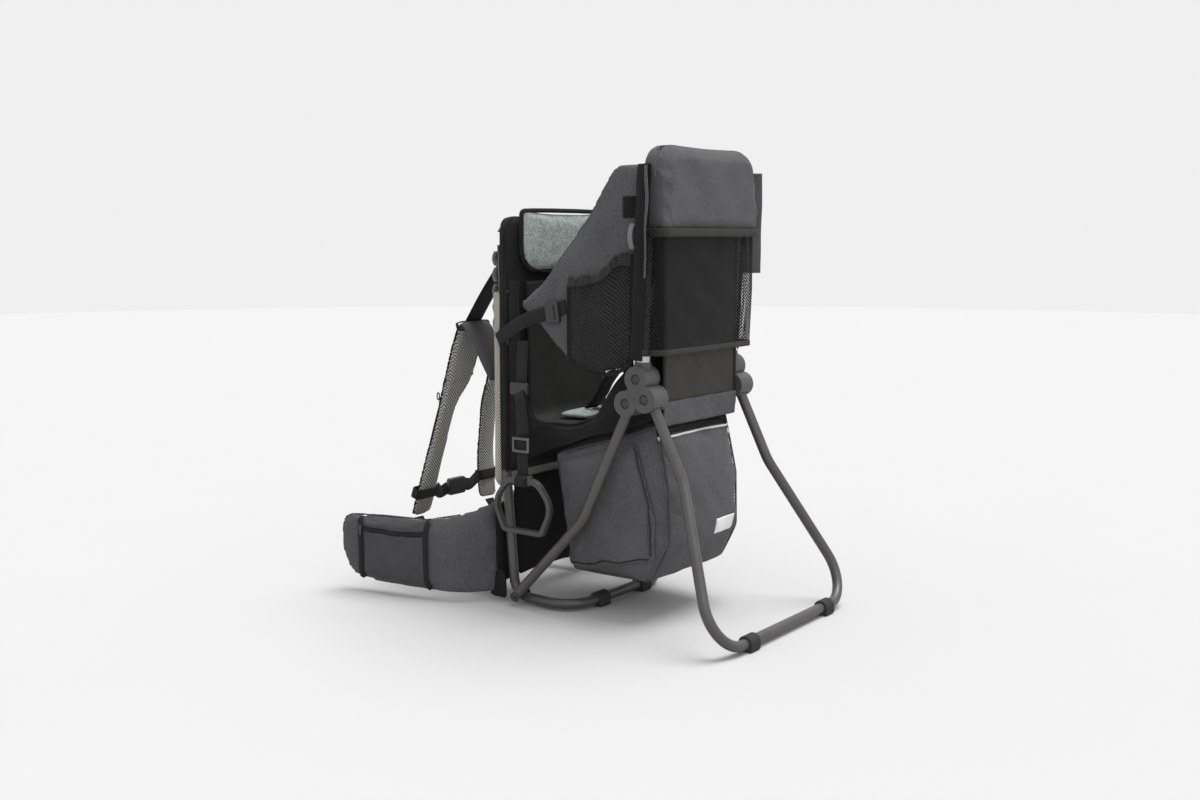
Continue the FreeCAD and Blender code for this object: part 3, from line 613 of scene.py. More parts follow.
def cloth_plane(tree):
    """Distances across and up the cloth, in metres, in the plane that the face looks out of."""
    where = node(tree, "ShaderNodeTexCoord")
    at = node(tree, "ShaderNodeSeparateXYZ", {0: where.outputs["Object"]}).outputs
    to = node(tree, "ShaderNodeSeparateXYZ", {0: where.outputs["Normal"]}).outputs
    sizes = [calc(tree, "ABSOLUTE", to[k]) for k in range(3)]
    sideways = calc(tree, "GREATER_THAN", sizes[0], sizes[1])
    level = calc(tree, "GREATER_THAN", sizes[2], 0.78)
    across = blend_number(tree, sideways, at[0], at[1])
    across = blend_number(tree, level, across, at[0])
    up = blend_number(tree, level, at[2], at[1])
    return across, up


def uv_plane(tree):
    where = node(tree, "ShaderNodeTexCoord").outputs["UV"]
    at = node(tree, "ShaderNodeSeparateXYZ", {0: where}).outputs
    return at[0], at[1]


def wave(tree, value, pitch, power=1.0):
    """A sine of the value with the given pitch in metres, from -1 to 1."""
    return calc(tree, "SINE", calc(tree, "MULTIPLY", value, 2 * math.pi / pitch * power))


def diamonds(tree, across, up, pitch):
    """A diamond grid: 0 on its threads, 1 in the middle of its holes."""
    first = calc(tree, "ABSOLUTE", wave(tree, calc(tree, "ADD", across, up), pitch, 0.5))
    second = calc(tree, "ABSOLUTE", wave(tree, calc(tree, "SUBTRACT", across, up), pitch, 0.5))
    return calc(tree, "MULTIPLY", first, second)


def shades(colour, spread):
    return tuple(c * (1 - spread) for c in colour), tuple(min(1.0, c * (1 + spread)) for c in colour)


def woven(name, colour, pitch=1.5, speckle=0.55, roughness=0.92, sheen=0.08, bump=0.5, worn=0.3):
    """Plain-weave polyester with the mixed light and dark threads of a heather yarn."""
    material, tree, shader = start_material(name, roughness, sheen=sheen, specular=0.12)
    across, up = cloth_plane(tree)
    threads = calc(tree, "MULTIPLY", wave(tree, across, pitch * MM), wave(tree, up, pitch * MM))
    fine = noise(tree, 620, 3, 0.7)
    broad = noise(tree, 11, 3, 0.55)
    mixed = calc(tree, "MULTIPLY_ADD", calc(tree, "SUBTRACT", fine, 0.5), 1.9, 0.5)
    mixed = calc(tree, "MULTIPLY_ADD", threads, 0.12, mixed)
    mixed = calc(tree, "MULTIPLY_ADD", calc(tree, "SUBTRACT", broad, 0.5), worn * 2, mixed)
    share = node(tree, "ShaderNodeClamp", {0: mixed}).outputs[0]
    tree.links.new(blend_colour(tree, share, *shades(colour, speckle)), shader.inputs["Base Color"])
    height = calc(tree, "MULTIPLY_ADD", fine, 0.7, threads)
    set_bump(tree, shader, height, bump, 0.0004)
    return material


def lining(name, colour, sheen=0.04):
    """A fine plain lining: hardly any weave, with soft creases."""
    material, tree, shader = start_material(name, 0.66, sheen=sheen, specular=0.2)
    across, up = cloth_plane(tree)
    threads = calc(tree, "MULTIPLY", wave(tree, across, 0.0009), wave(tree, up, 0.0009))
    broad = noise(tree, 16, 4, 0.6)
    tree.links.new(blend_colour(tree, broad, *shades(colour, 0.35)), shader.inputs["Base Color"])
    creases = node(tree, "ShaderNodeMapping", {"Scale": (1.0, 1.0, 0.35)})
    tree.links.new(node(tree, "ShaderNodeTexCoord").outputs["Object"], creases.inputs["Vector"])
    soft = noise(tree, 26, 3, 0.5, creases.outputs[0])
    set_bump(tree, shader, calc(tree, "MULTIPLY_ADD", threads, 0.03, soft), 0.35, 0.006)
    return material


def spacer_mesh(name, colour, hole, pitch=5.2):
    """Knitted air mesh: light threads round small dark diamond holes."""
    material, tree, shader = start_material(name, 0.85, sheen=0.1, specular=0.12)
    across, up = cloth_plane(tree)
    cells = diamonds(tree, across, up, pitch * MM)
    warped = calc(tree, "MULTIPLY_ADD", noise(tree, 500, 2), 0.3, calc(tree, "SUBTRACT", cells, 0.15))
    edge = node(tree, "ShaderNodeMapRange", {"Value": warped, "From Min": 0.28, "From Max": 0.48})
    tree.links.new(blend_colour(tree, edge.outputs[0], colour, hole), shader.inputs["Base Color"])
    height = calc(tree, "SUBTRACT", 1.0, edge.outputs[0])
    set_bump(tree, shader, height, 0.8, 0.0009)
    return material


def open_net(name, colour, pitch=3.6, opening=0.5):
    """Knitted net with real see-through diamond holes, laid out along the sheet."""
    material, tree, shader = start_material(name, 0.7, sheen=0.03, specular=0.15)
    across, up = uv_plane(tree)
    cells = diamonds(tree, across, up, pitch * MM)
    broad = noise(tree, 30, 2)
    tree.links.new(blend_colour(tree, broad, *shades(colour, 0.5)), shader.inputs["Base Color"])
    hole = node(tree, "ShaderNodeMapRange", {"Value": cells, "From Min": opening, "From Max": opening + 0.12})
    set_bump(tree, shader, calc(tree, "SUBTRACT", 1.0, cells), 0.7, 0.0008)
    clear = node(tree, "ShaderNodeBsdfTransparent")
    mix = node(tree, "ShaderNodeMixShader", {0: hole.outputs[0]})
    tree.links.new(shader.outputs[0], mix.inputs[1])
    tree.links.new(clear.outputs[0], mix.inputs[2])
    tree.links.new(mix.outputs[0], tree.nodes["Material Output"].inputs["Surface"])
    return material


def ribbed(name, colour, roughness=0.75, pitch=1.7):
    """Ribbed webbing: lengthwise ribs crossed by fine weft, laid out along the strap."""
    material, tree, shader = start_material(name, roughness, sheen=0.04, specular=0.15)
    across, along = uv_plane(tree)
    ribs = wave(tree, across, pitch * 1.5 * MM)
    weft = wave(tree, calc(tree, "MULTIPLY_ADD", ribs, 0.0003, along), pitch * MM)
    fine = noise(tree, 420, 2)
    share = calc(tree, "MULTIPLY_ADD", weft, 0.2, fine)
    share = node(tree, "ShaderNodeClamp", {0: calc(tree, "MULTIPLY_ADD", ribs, 0.12, share)}).outputs[0]
    tree.links.new(blend_colour(tree, share, *shades(colour, 0.45)), shader.inputs["Base Color"])
    set_bump(tree, shader, calc(tree, "MULTIPLY_ADD", ribs, 0.6, weft), 0.6, 0.0004)
    return material


def pile(name, colour):
    """Short brushed fleece."""
    material, tree, shader = start_material(name, 0.95, sheen=0.25, specular=0.1)
    fine = noise(tree, 360, 4, 0.8)
    clumps = noise(tree, 90, 3, 0.6)
    share = calc(tree, "MULTIPLY_ADD", calc(tree, "SUBTRACT", fine, 0.5), 2.4, clumps)
    share = node(tree, "ShaderNodeClamp", {0: share}).outputs[0]
    tree.links.new(blend_colour(tree, share, *shades(colour, 0.45)), shader.inputs["Base Color"])
    set_bump(tree, shader, calc(tree, "ADD", fine, clumps), 0.9, 0.0016)
    return material


def moulded(name, colour, roughness=0.5, grain=900.0, bump=0.12, specular=0.4, metallic=0.0, coat=0.0,
            edge_highlight=0.3):
    """Moulded or painted hard surface: fine grain, uneven gloss, and a painted highlight that makes sharp edges
    paler.
    """
    material, tree, shader = start_material(name, roughness, metallic, 0.0, specular, coat)
    fine = noise(tree, grain, 2, 0.6)
    broad = noise(tree, 24, 4, 0.6)
    # Sharp edges are painted paler: a painted highlight along every convex edge.
    edges = node(tree, "ShaderNodeNewGeometry").outputs["Pointiness"]
    edges = node(tree, "ShaderNodeMapRange", {"Value": edges, "From Min": 0.52, "From Max": 0.62}).outputs[0]
    share = calc(tree, "MULTIPLY_ADD", edges, edge_highlight, calc(tree, "MULTIPLY", broad, 0.8))
    share = node(tree, "ShaderNodeClamp", {0: calc(tree, "MULTIPLY_ADD", fine, 0.2, share)}).outputs[0]
    tree.links.new(blend_colour(tree, share, *shades(colour, 0.3)), shader.inputs["Base Color"])
    gloss = calc(tree, "MULTIPLY_ADD", calc(tree, "SUBTRACT", broad, 0.5), 0.25, roughness)
    tree.links.new(gloss, shader.inputs["Roughness"])
    set_bump(tree, shader, fine, bump, 0.0004)
    return material


GREY = (0.082, 0.083, 0.086)
GREY_PLAIN = (0.058, 0.058, 0.061)
BLACK = (0.014, 0.014, 0.0145)
LOOK = {
    "tube": moulded("powder_coated_tube", (0.072, 0.069, 0.067), 0.42, 1400, 0.10, 0.5, 0.35),
    "hub": moulded("hub_plastic", (0.052, 0.052, 0.053), 0.5, 1100, 0.2, 0.4),
    "rivet": moulded("rivet_steel", (0.045, 0.045, 0.047), 0.28, 1500, 0.05, 0.6, 0.8, 0.2),
    "collar": moulded("collar_aluminium", (0.42, 0.42, 0.43), 0.34, 900, 0.1, 0.5, 0.9),
    "rubber": moulded("foot_rubber", (0.028, 0.028, 0.029), 0.8, 700, 0.3, 0.2),
    "buckle": moulded("buckle_acetal", (0.02, 0.02, 0.021), 0.4, 1200, 0.08, 0.5),
    "stirrup": moulded("stirrup_nylon", (0.036, 0.036, 0.037), 0.42, 1000, 0.15, 0.5),
    "button": moulded("button_plastic", (0.25, 0.25, 0.26), 0.3, 1200, 0.05, 0.5, 0.0, 0.3),
    "slide": moulded("slide_metal", (0.10, 0.10, 0.105), 0.38, 1200, 0.08, 0.5, 0.7),
    "zip_pull": moulded("zip_pull_metal", (0.05, 0.05, 0.052), 0.3, 1300, 0.05, 0.5, 0.8),
    "zip_teeth": moulded("zip_coil", (0.016, 0.016, 0.017), 0.4, 1500, 0.05, 0.5),
    "grey": woven("heather_polyester", GREY),
    "grey_plain": woven("plain_grey_polyester", GREY_PLAIN, 1.2, 0.22, 0.85, 0.06, 0.25, 0.25),
    "black": woven("black_polyester", BLACK, 1.4, 0.45, 0.9, 0.03, 0.5),
    "lining": lining("dark_lining", (0.032, 0.031, 0.027)),
    # The seat's lining: dark cloth, darkened further than the other lining as painted shade for the inside of
    # the seat.
    "seat_lining_painted_shade": lining("seat_lining_painted_shade", (0.014, 0.0135, 0.012)),
    "net": open_net("black_net", (0.008, 0.008, 0.0084), 6.2, 0.36),
    "net_rear": open_net("black_rear_net", (0.010, 0.010, 0.0105), 5.4, 0.42),
    "mesh": spacer_mesh("grey_air_mesh", (0.50, 0.495, 0.46), (0.03, 0.029, 0.026)),
    "mesh_beige": spacer_mesh("beige_air_mesh", (0.58, 0.55, 0.48), (0.05, 0.043, 0.033)),
    "fleece": pile("pale_fleece", (0.30, 0.345, 0.33)),
    "webbing": ribbed("black_webbing", (0.017, 0.017, 0.0175)),
    "binding": ribbed("dark_binding", (0.013, 0.013, 0.0135), 0.8, 1.1),
    "hem": ribbed("brown_black_hem", (0.034, 0.030, 0.025), 0.7, 1.2),
    "grey_tape": ribbed("grey_tape", (0.2, 0.2, 0.205), 0.8, 1.3),
    "piping": moulded("pale_piping", (0.5, 0.49, 0.46), 0.6, 900, 0.2, 0.3),
    "hook": pile("hook_tape", (0.01, 0.01, 0.0105)),
    "label": lining("woven_label", (0.74, 0.74, 0.73)),
    "thread": moulded("sewing_thread", (0.05, 0.05, 0.051), 0.7, 900, 0.2, 0.3),
    "black_thread": moulded("black_thread", (0.012, 0.012, 0.012), 0.7, 900, 0.2, 0.3),
}

HARD_NODES = {
    "tube": ["back_frame_tube", "base_tube", "seat_frame_tube", "side_strut_left", "side_strut_right",
             "kickstand_tube"],
    "hub": ["hub_outer_left", "hub_outer_right", "hub_inner_left", "hub_inner_right"],
    "rivet": ["hub_rivets", "foot_rivets"],
    "collar": ["tube_collars"],
    "rubber": ["base_feet", "kickstand_feet"],
    "stirrup": ["stirrup_left", "stirrup_right"],
    "buckle": ["harness_buckle", "sternum_buckle", "wing_sliders", "stirrup_locks"],
    "button": ["harness_button"],
    "slide": ["slide_rings"],
    "zip_pull": ["bag_zip_pull", "belt_zip_pull_left", "belt_zip_pull_right"],
}


def finish_hard_nodes():
    """Gives the carried-over CAD nodes their materials."""
    for look, names in HARD_NODES.items():
        for name in names:
            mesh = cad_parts[name].data
            mesh.materials.clear()
            mesh.materials.append(LOOK[look])


# ---------------------------------------------------------------- head padding and rear pocket


def wrap_run(half, front, back, radius, steps=5):
    """Plan of a U round the back: from the left front, across the rear, to the right front."""
    corner = [(math.sin(a), math.cos(a)) for a in np.linspace(0, math.pi / 2, steps + 1)]
    left = [(-half + radius * (1 - c), back + radius * (1 - s)) for s, c in corner]
    right = [(-x, y) for x, y in left[::-1]]
    return [(-half, front)] + left + right + [(half, front)]


def build_headrest():
    low, high = box_mm("headrest")
    rear, middle = low.y, low.y + 24
    outline = rounded([(low.x, low.z, 10), (high.x, low.z, 10), (high.x, high.z, 48), (low.x, high.z, 48)], 9)

    def folds(u, v, t):
        soft = 1.4 * ripple(u, v, 55, 1.0)
        slope = np.clip(1 - distance_to(u, v, outline[:-1]) / 24, 0, 1) * np.clip((v - 625) / 50, 0, 1)
        gusset = 1.5 * np.sin((v + u * 0.6) / 5.5) * (np.abs(u) > high.x - 16) * np.clip((700 - v) / 30, 0, 1)
        return np.where(t > 4, soft - 13 * slope ** 1.4, 0) + gusset

    cap = pad("headrest_cap", outline, 46, facing_back(middle), [LOOK["grey"]], 3.0, 5.5, [], folds)
    add(cap, "grey_fabric", nodes=["headrest"], fill=0.7)
    front = rounded([(-106, low.z + 4, 12), (106, low.z + 4, 12), (106, high.z - 16, 38),
                     (-106, high.z - 16, 38)])
    inner = pad("headrest_inner", front, 16, facing_front(-170), [LOOK["grey"]], 4.0, 6.0,
                [(looped(inset(front, 9)), 2.6, 1.4, 1)])
    add(inner, "grey_fabric", fill=0.6)

    plan = wrap_run(high.x + 0.5, -182, rear + 1, 15, 8)
    ups = [(x / 40 if abs(x) > high.x - 10 else 0, -1 if y < rear + 12 else -0.02, 0) for x, y in plan]
    hem = [(x, y, low.z - 1) for x, y in plan]
    add(swept("headrest_hem", hem, flat_section(13, 2.4), ups, LOOK["hem"]), "black_fabric")


def build_rear_pocket():
    low, high = box_mm("rear_mesh_pocket")
    plan = np.array(wrap_run(high.x, high.y - 17, low.y + 3, 17, 8), float)
    steps = travel(plan)

    def place(u, v):
        at = u * steps[-1]
        x = np.interp(at, steps, plan[:, 0])
        y = np.interp(at, steps, plan[:, 1])
        belly = np.sin(np.pi * np.clip((u - 0.14) / 0.72, 0, 1)) * np.sin(np.pi * np.clip(v, 0, 1)) ** 0.7
        crease = 1.6 * np.sin((x + 1.5 * v * 180) / 17) * belly * (0.35 + 0.65 * np.clip(-x / 60, 0, 1))
        y = y - 4.0 * belly + crease
        x = x * (1 - 0.10 * np.clip(0.5 - v, 0, 1) * (y < low.y + 22))
        z = low.z + (high.z + 2 - low.z) * v
        return np.column_stack([x, y, z])

    width, height = steps[-1], high.z - low.z
    net = cloth_sheet("rear_net_pocket", place, (width, height), (96, 72), LOOK["net_rear"], 0)
    add(net, "black_net", nodes=["rear_mesh_pocket"], flat=(width, height), held="hung")
    hem = place(np.linspace(0, 1, 60), np.full(60, 0.02))
    outward = np.column_stack([hem[:, 0] / high.x * (np.abs(hem[:, 0]) > high.x - 8),
                               -(hem[:, 1] < low.y + 12).astype(float), np.zeros(60)])
    outward[np.abs(outward).sum(axis=1) == 0] = (0, -1, 0)
    add(swept("rear_net_hem", hem, flat_section(9, 2.0), outward, LOOK["hem"]), "black_fabric")

    low, high = box_mm("seat_rear_panel")

    def panel(u, v):
        x = low.x + (high.x - low.x) * u
        z = low.z + (high.z - low.z) * v
        edge = np.sin(np.pi * u) * np.sin(np.pi * np.clip(v * 1.4, 0, 1))
        y = (low.y + high.y) / 2 - edge * (1.5 + 1.8 * ripple(x, z, 24, 2.0))
        return np.column_stack([x, y, z])

    size = (high.x - low.x, high.z - low.z)
    sheet = cloth_sheet("seat_rear_cloth", panel, size, (60, 72), LOOK["lining"], 1.6)
    add(sheet, "black_fabric", nodes=["seat_rear_panel"], flat=size, held="stretched")
    for name, at in (("low", 0.03), ("middle", 0.30)):
        line = panel(np.linspace(0.02, 0.98, 50), np.full(50, at)) + (0, -1.2, 0)
        add(stitches(f"seat_rear_stitching_{name}", line, np.tile((0, -1, 0), (50, 1)), LOOK["black_thread"]),
            "black_fabric")
    for side in (-1, 1):
        edge = panel(np.full(40, 0.5 + 0.49 * side), np.linspace(0.01, 0.99, 40)) + (0, -1.0, 0)
        name = "left" if side < 0 else "right"
        add(swept(f"seat_rear_binding_{name}", edge, flat_section(7, 1.6), (0, -1, 0), LOOK["binding"]),
            "black_fabric")


# ---------------------------------------------------------------- side wings and their pockets


WING = [
    (-157.6, 407, 4), (-140, 388, 12), (-94, 377, 20), (-46, 380, 14), (21, 441, 60), (66, 475, 5),
    (64, 484, 5), (22, 518, 60), (-66, 615, 200), (-101, 667, 70), (-124, 694, 36), (-172.5, 694, 8),
]


def build_wings():
    low, high = box_mm("side_wing_left")
    outline = rounded(WING, 8)
    middle = (low.x + high.x) / 2
    rim = inset(outline, 6)

    def folds(u, v, t):
        pull = -2.2 * bump_at(u + (v - 500) * 0.25, v, (-12, 505), (9, 34))
        pull -= 1.6 * bump_at(u + (v - 500) * 0.1, v, (14, 490), (7, 26))
        pull += 1.8 * bump_at(u, v, (30, 478), (20, 18))
        return pull + 1.1 * ripple(u, v, 48, 4.0)

    wing = pad("side_wing_pad_left", outline, high.x - low.x, facing_left(middle), [LOOK["grey"]], 3.0, 5.0,
               [(rim[4:-4], 2.0, 0.9, 0)], folds)
    add_pair(wing, "grey_fabric", nodes=["side_wing_left"], fill=0.4)
    upper = [(low.x - 4, u, v) for u, v in rim if v > 512]
    points, normals = on_surface(wing, upper, 0.1)
    add_pair(stitches("side_wing_stitching_left", eased(points), normals, LOOK["thread"]), "grey_fabric")

    def sleeve(u, v):
        """Black casing that joins the wing's rear edge round the seat tube to the rear net."""
        z = 405 + 284 * v
        edge = -157.6 - 14.9 * (z - 407) / 287
        y = edge + 6 - 27 * u
        x = -129.6 - 5.2 * np.sin(np.pi / 2 * np.clip(u * 1.5, 0, 1)) + 0.8 * np.sin(z / 9 + 3 * u)
        return np.column_stack([x, y, z])

    casing = cloth_sheet("seat_tube_casing_left", sleeve, (27, 284), (12, 90), LOOK["black"], 1.4)
    add_pair(casing, "black_fabric", flat=(27, 284), held="stretched", rests_on=["side_wing_left"])
    line = sleeve(np.full(90, 0.22), np.linspace(0.01, 0.99, 90)) + (-0.9, 0, 0)
    outwards = np.tile((-1.0, 0, 0), (90, 1))
    add_pair(stitches("seat_tube_casing_stitching_left", line, outwards, LOOK["thread"]), "black_fabric")
    build_wing_trims(wing, low)
    build_side_pocket()


def surface_patch(name, host, place, size, cells, material, lift=0.7, thickness=1.4):
    """A rectangular patch laid on a host piece; place(u, v) gives points near its surface."""
    def snapped(u, v):
        points, _ = on_surface(host, place(u, v), lift)
        return points
    return cloth_sheet(name, snapped, size, cells, material, thickness)


def build_wing_trims(wing, low):
    patch_low, patch_high = box_mm("hook_patches")
    width, height = 25, patch_high.z - patch_low.z

    def place(u, v):
        return np.column_stack([np.full(len(u), low.x - 3), -164 + width * u, patch_low.z + height * v])

    patch = surface_patch("hook_patch_left", wing, place, (width, height), (12, 16), LOOK["hook"])
    add_pair(patch, "hook_tape", nodes=[], flat=(width, height), held="laid", rests_on=["side_wing_left"])
    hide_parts("hook_patches")
    edge = [(0.06, 0.06), (0.94, 0.06), (0.94, 0.94), (0.06, 0.94), (0.06, 0.06)]
    line = smooth_run([place(np.array([u]), np.array([v]))[0] for u, v in edge], 60)
    add_pair(sewn("hook_patch_stitching_left", wing, line, "black_thread", 1.5), "hook_tape")

    loop = [(low.x - 1, -157, 604), (low.x - 4.5, -156, 597), (low.x - 5.5, -155, 585),
            (low.x - 4, -156, 573), (low.x - 1, -157, 567)]
    add_pair(band("side_wing_loop_left", loop, (-1, 0, 0), LOOK["grey_tape"], 9, 1.6, 24), "webbing")


def build_side_pocket():
    low, high = box_mm("side_mesh_pocket_left")
    inner = high.x
    rear, front = low.y + 1, high.y

    def hem_height(y):
        share = (y - rear) / (front - rear)
        return 545 - 30 * share + 13 * np.exp(-((share - 0.16) / 0.16) ** 2) - 6 * np.sin(np.pi * share)

    def foot_height(y):
        share = (y - rear) / (front - rear)
        return 404 - 24 * np.sin(np.pi * np.clip(share, 0, 1)) ** 0.6

    def place(u, v):
        y = rear + (front - rear) * u
        foot = foot_height(y)
        z = foot + (hem_height(y) - foot) * v
        belly = np.sin(np.pi * np.clip(u, 0, 1)) ** 0.42 * np.sin(np.pi / 2 * np.clip(v * 2.2, 0, 1)) ** 0.6
        ridge = 2.2 * np.exp(-((y - 118 + z * 0.40) / 7) ** 2) * belly
        gather = 1.3 * np.sin(u * 60 + 4 * np.sin(u * 9)) * np.clip((v - 0.72) / 0.28, 0, 1) * belly
        x = inner - 0.6 - 15.5 * belly * (1 - 0.28 * v ** 3) + ridge + gather
        return np.column_stack([x, y, z])

    size = (front - rear + 26, 150)
    net = cloth_sheet("side_net_pocket_left", place, size, (72, 72), LOOK["net"], 0)
    add_pair(net, "black_net", nodes=["side_mesh_pocket_left"], flat=(front - rear, 150), held="gathered")

    def hem(u, v):
        at = place(u, np.full(len(u), 0.965))
        ruffle = 1.7 * np.sin(u * 78 + 5 * np.sin(u * 7)) * (0.35 + v)
        tall = 13 + 3 * np.sin(u * 19 + 1) + 5 * np.exp(-((u - 0.15) / 0.14) ** 2)
        at[:, 2] += (v - 0.12) * tall
        at[:, 0] -= 1.4 + ruffle * 0.8 - 3.4 * v ** 2
        return at

    gathered = cloth_sheet("side_pocket_hem_left", hem, (125, 15), (130, 8), LOOK["hem"], 1.6)
    add_pair(gathered, "black_fabric", flat=(125, 15), held="gathered", rests_on=["side_mesh_pocket_left"])
    seam = place(np.linspace(0, 1, 70), np.full(70, 0.955))
    seam[:, 0] -= 1.6
    add_pair(cord_line("side_pocket_seam_left", seam, 0.9, LOOK["black_thread"]), "black_fabric")
    for name, rows in (("rear", 0.0), ("front", 1.0)):
        edge = place(np.full(40, rows), np.linspace(0, 0.98, 40))
        edge[:, 0] -= 1.0
        add_pair(swept(f"side_pocket_binding_{name}_left", edge, flat_section(6, 1.8), (-1, 0, 0),
                       LOOK["binding"]), "black_fabric")
    foot = place(np.linspace(0, 1, 60), np.zeros(60))
    foot[:, 0] -= 1.0
    add_pair(swept("side_pocket_binding_foot_left", foot, flat_section(6, 1.8), (-1, 0, 0), LOOK["binding"]),
             "black_fabric")

    eye = place(np.array([0.17]), np.array([1.0]))[0] + (-3.2, 0, 6)
    ring = [eye + (0, 4.2 * math.cos(a), 4.2 * math.sin(a)) for a in np.linspace(0, 2 * math.pi, 20)[:-1]]
    add_pair(swept("side_pocket_eyelet_left", ring, round_section(1.1), (-1, 0, 0), LOOK["rivet"], True),
             "rivet")
    tail = [eye, eye + (-3, 4, -2), eye + (-4, 9, -9), eye + (-3, 8, -20), eye + (-2, 5, -30)]
    add_pair(cord_line("side_pocket_drawcord_left", smooth_run(tail, 30), 0.9, LOOK["black_thread"]),
             "webbing")


def build_canopy_flaps():
    low, high = box_mm("canopy_flaps")
    root, tip = np.array((-137.6, -185.0)), np.array((-160.8, -202.5))
    side = np.array((-0.6, 0.8))
    height = high.z - low.z

    def place(u, v):
        wave_off = 1.5 * np.sin(v * 5.2 + 0.6) * (0.35 + 0.65 * u) + 0.7 * np.sin(v * 13 + 2)
        plan = root + np.outer(u, tip - root) + np.outer(wave_off, side)
        return np.column_stack([plan, low.z + height * v])

    width = float(np.linalg.norm(tip - root))
    flap = cloth_sheet("canopy_flap_left", place, (width, height), (10, 48), LOOK["grey"], 2.8)
    add_pair(flap, "grey_fabric", flat=(width, height), held="hung")
    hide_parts("canopy_flaps")
    line = place(np.full(60, 0.86), np.linspace(0.02, 0.98, 60))
    ups = np.tile((*side, 0), (60, 1))
    add_pair(stitches("canopy_flap_stitching_left", line + ups * 1.5, ups, LOOK["thread"]), "grey_fabric")


# ---------------------------------------------------------------- back


PANEL_ROWS = (300, 420, 500)


def build_back_panel():
    low, high = box_mm("back_panel")
    middle = (low.y + high.y) / 2
    outline = rounded([(low.x, low.z, 10), (high.x, low.z, 10), (high.x, high.z, 34), (low.x, high.z, 34)])
    rim = inset(outline, 10)
    rows = [[(low.x + 6, z), (high.x - 6, z)] for z in PANEL_ROWS]
    seams = [(looped(rim), 2.6, 1.4, 0)] + [(row, 2.4, 1.0, 1) for row in rows]

    def folds(u, v, t):
        return 1.4 * ripple(u, v, 46, 7.0) * np.sign(t) * (np.abs(t) > 4)

    panel = pad("back_panel_pad", outline, high.y - low.y, facing_back(middle), [LOOK["black"]], 5.0, 6.0,
                seams, folds)
    add(panel, "black_fabric", nodes=["back_panel"], fill=0.6)
    wide = high.x + 2
    body_side = rounded([(-wide, 178, 26), (wide, 178, 26), (wide, 505, 10), (-wide, 505, 10)])
    cushion = pad("back_side_cushion", body_side, 19, facing_front(high.y - 1), [LOOK["mesh_beige"]],
                  4.0, 5.0, [(looped(inset(body_side, 8)), 2.4, 1.2, 1)])
    add(cushion, "grey_mesh", fill=0.6)
    tops = [(low.x - 6, high.y + 1, z) for z in np.linspace(508, 604, 40)]
    add_pair(laid("back_panel_side_webbing_left", panel, tops, flat_section(12, 1.6), "grey_tape", 0.5,
                  toward=(1, 0, 0)), "webbing")
    for name, y in (("rear", low.y + 4), ("front", high.y - 4)):
        edge = [(u, y, v) for u, v in inset(outline, 1)]
        add(laid(f"back_panel_piping_{name}", panel, edge, round_section(1.6), "binding", 0.4, closed=True),
            "black_fabric")
    for x in (-118, 118):
        name = "left" if x < 0 else "right"
        line = [(x, low.y - 4, z) for z in np.linspace(214, 516, 60)]
        add(laid(f"back_panel_webbing_{name}", panel, line, flat_section(20, 1.6), "webbing", 0.8), "webbing")
        for k, z in enumerate(PANEL_ROWS):
            cross = [(x + d, low.y - 4, z) for d in np.linspace(-9, 9, 12)]
            add(sewn(f"back_panel_tack_{name}_{k}", panel, cross, "thread", 1.9), "webbing")

    side = [(low.x - 4, middle, z) for z in np.linspace(214, 598, 60)]
    add_pair(laid("back_panel_side_tape_left", panel, side, flat_section(9, 1.4), "binding", 0.5),
             "black_fabric")
    build_ladders(panel, high)
    build_lower_panel()


def build_ladders(panel, high):
    """Height ladders on the front face that the shoulder strap roots loop through."""
    for x in (-124, 124):
        name = "left" if x < 0 else "right"
        line = [(x, high.y + 4, z) for z in np.linspace(432, 572, 40)]
        add(laid(f"ladder_tape_{name}", panel, line, flat_section(16, 1.6), "grey_tape", 0.8), "webbing")
        for k, z in enumerate(np.linspace(438, 540, 5)):
            rung = [(x, high.y + 1.6, z), (x, high.y + 5.2, z + 6), (x, high.y + 5.6, z + 14),
                    (x, high.y + 1.6, z + 22)]
            add(band(f"ladder_loop_{name}_{k}", rung, (0, 1, 0), LOOK["grey_tape"], 15, 1.4, 16), "webbing")


def build_lower_panel():
    low, high = box_mm("lower_panel")
    outline = rounded([(low.x, low.z, 24), (high.x, low.z, 24), (high.x, high.z, 6), (low.x, high.z, 6)])
    rim = inset(outline, 8)
    panel = pad("lower_panel_pad", outline, high.y - low.y, facing_back((low.y + high.y) / 2),
                [LOOK["black"]], 4.0, 6.0, [(looped(rim), 2.4, 1.2, 0)])
    add(panel, "black_fabric", nodes=["lower_panel"], fill=0.5)

    guard = rounded([(80, 6, 6), (121, 6, 6), (116, 40, 10), (100, 57, 10), (84, 50, 8)])
    patch = pad("corner_guard_left", guard, 6, facing_left(-138.5), [LOOK["black"]], 2.0, 3.5,
                [(looped(inset(guard, 5)), 1.5, 0.8, 1)])
    add_pair(patch, "black_fabric", fill=0.4)
    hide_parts("corner_guards")
    root = rounded([(-139, 22, 8), (-98, 26, 8), (-98, 166, 8), (-139, 158, 8)])
    bridge = pad("hip_belt_root_left", root, 8, facing_front(108), [LOOK["black"]], 2.5, 5.0)
    add_pair(bridge, "black_fabric", fill=0.5)


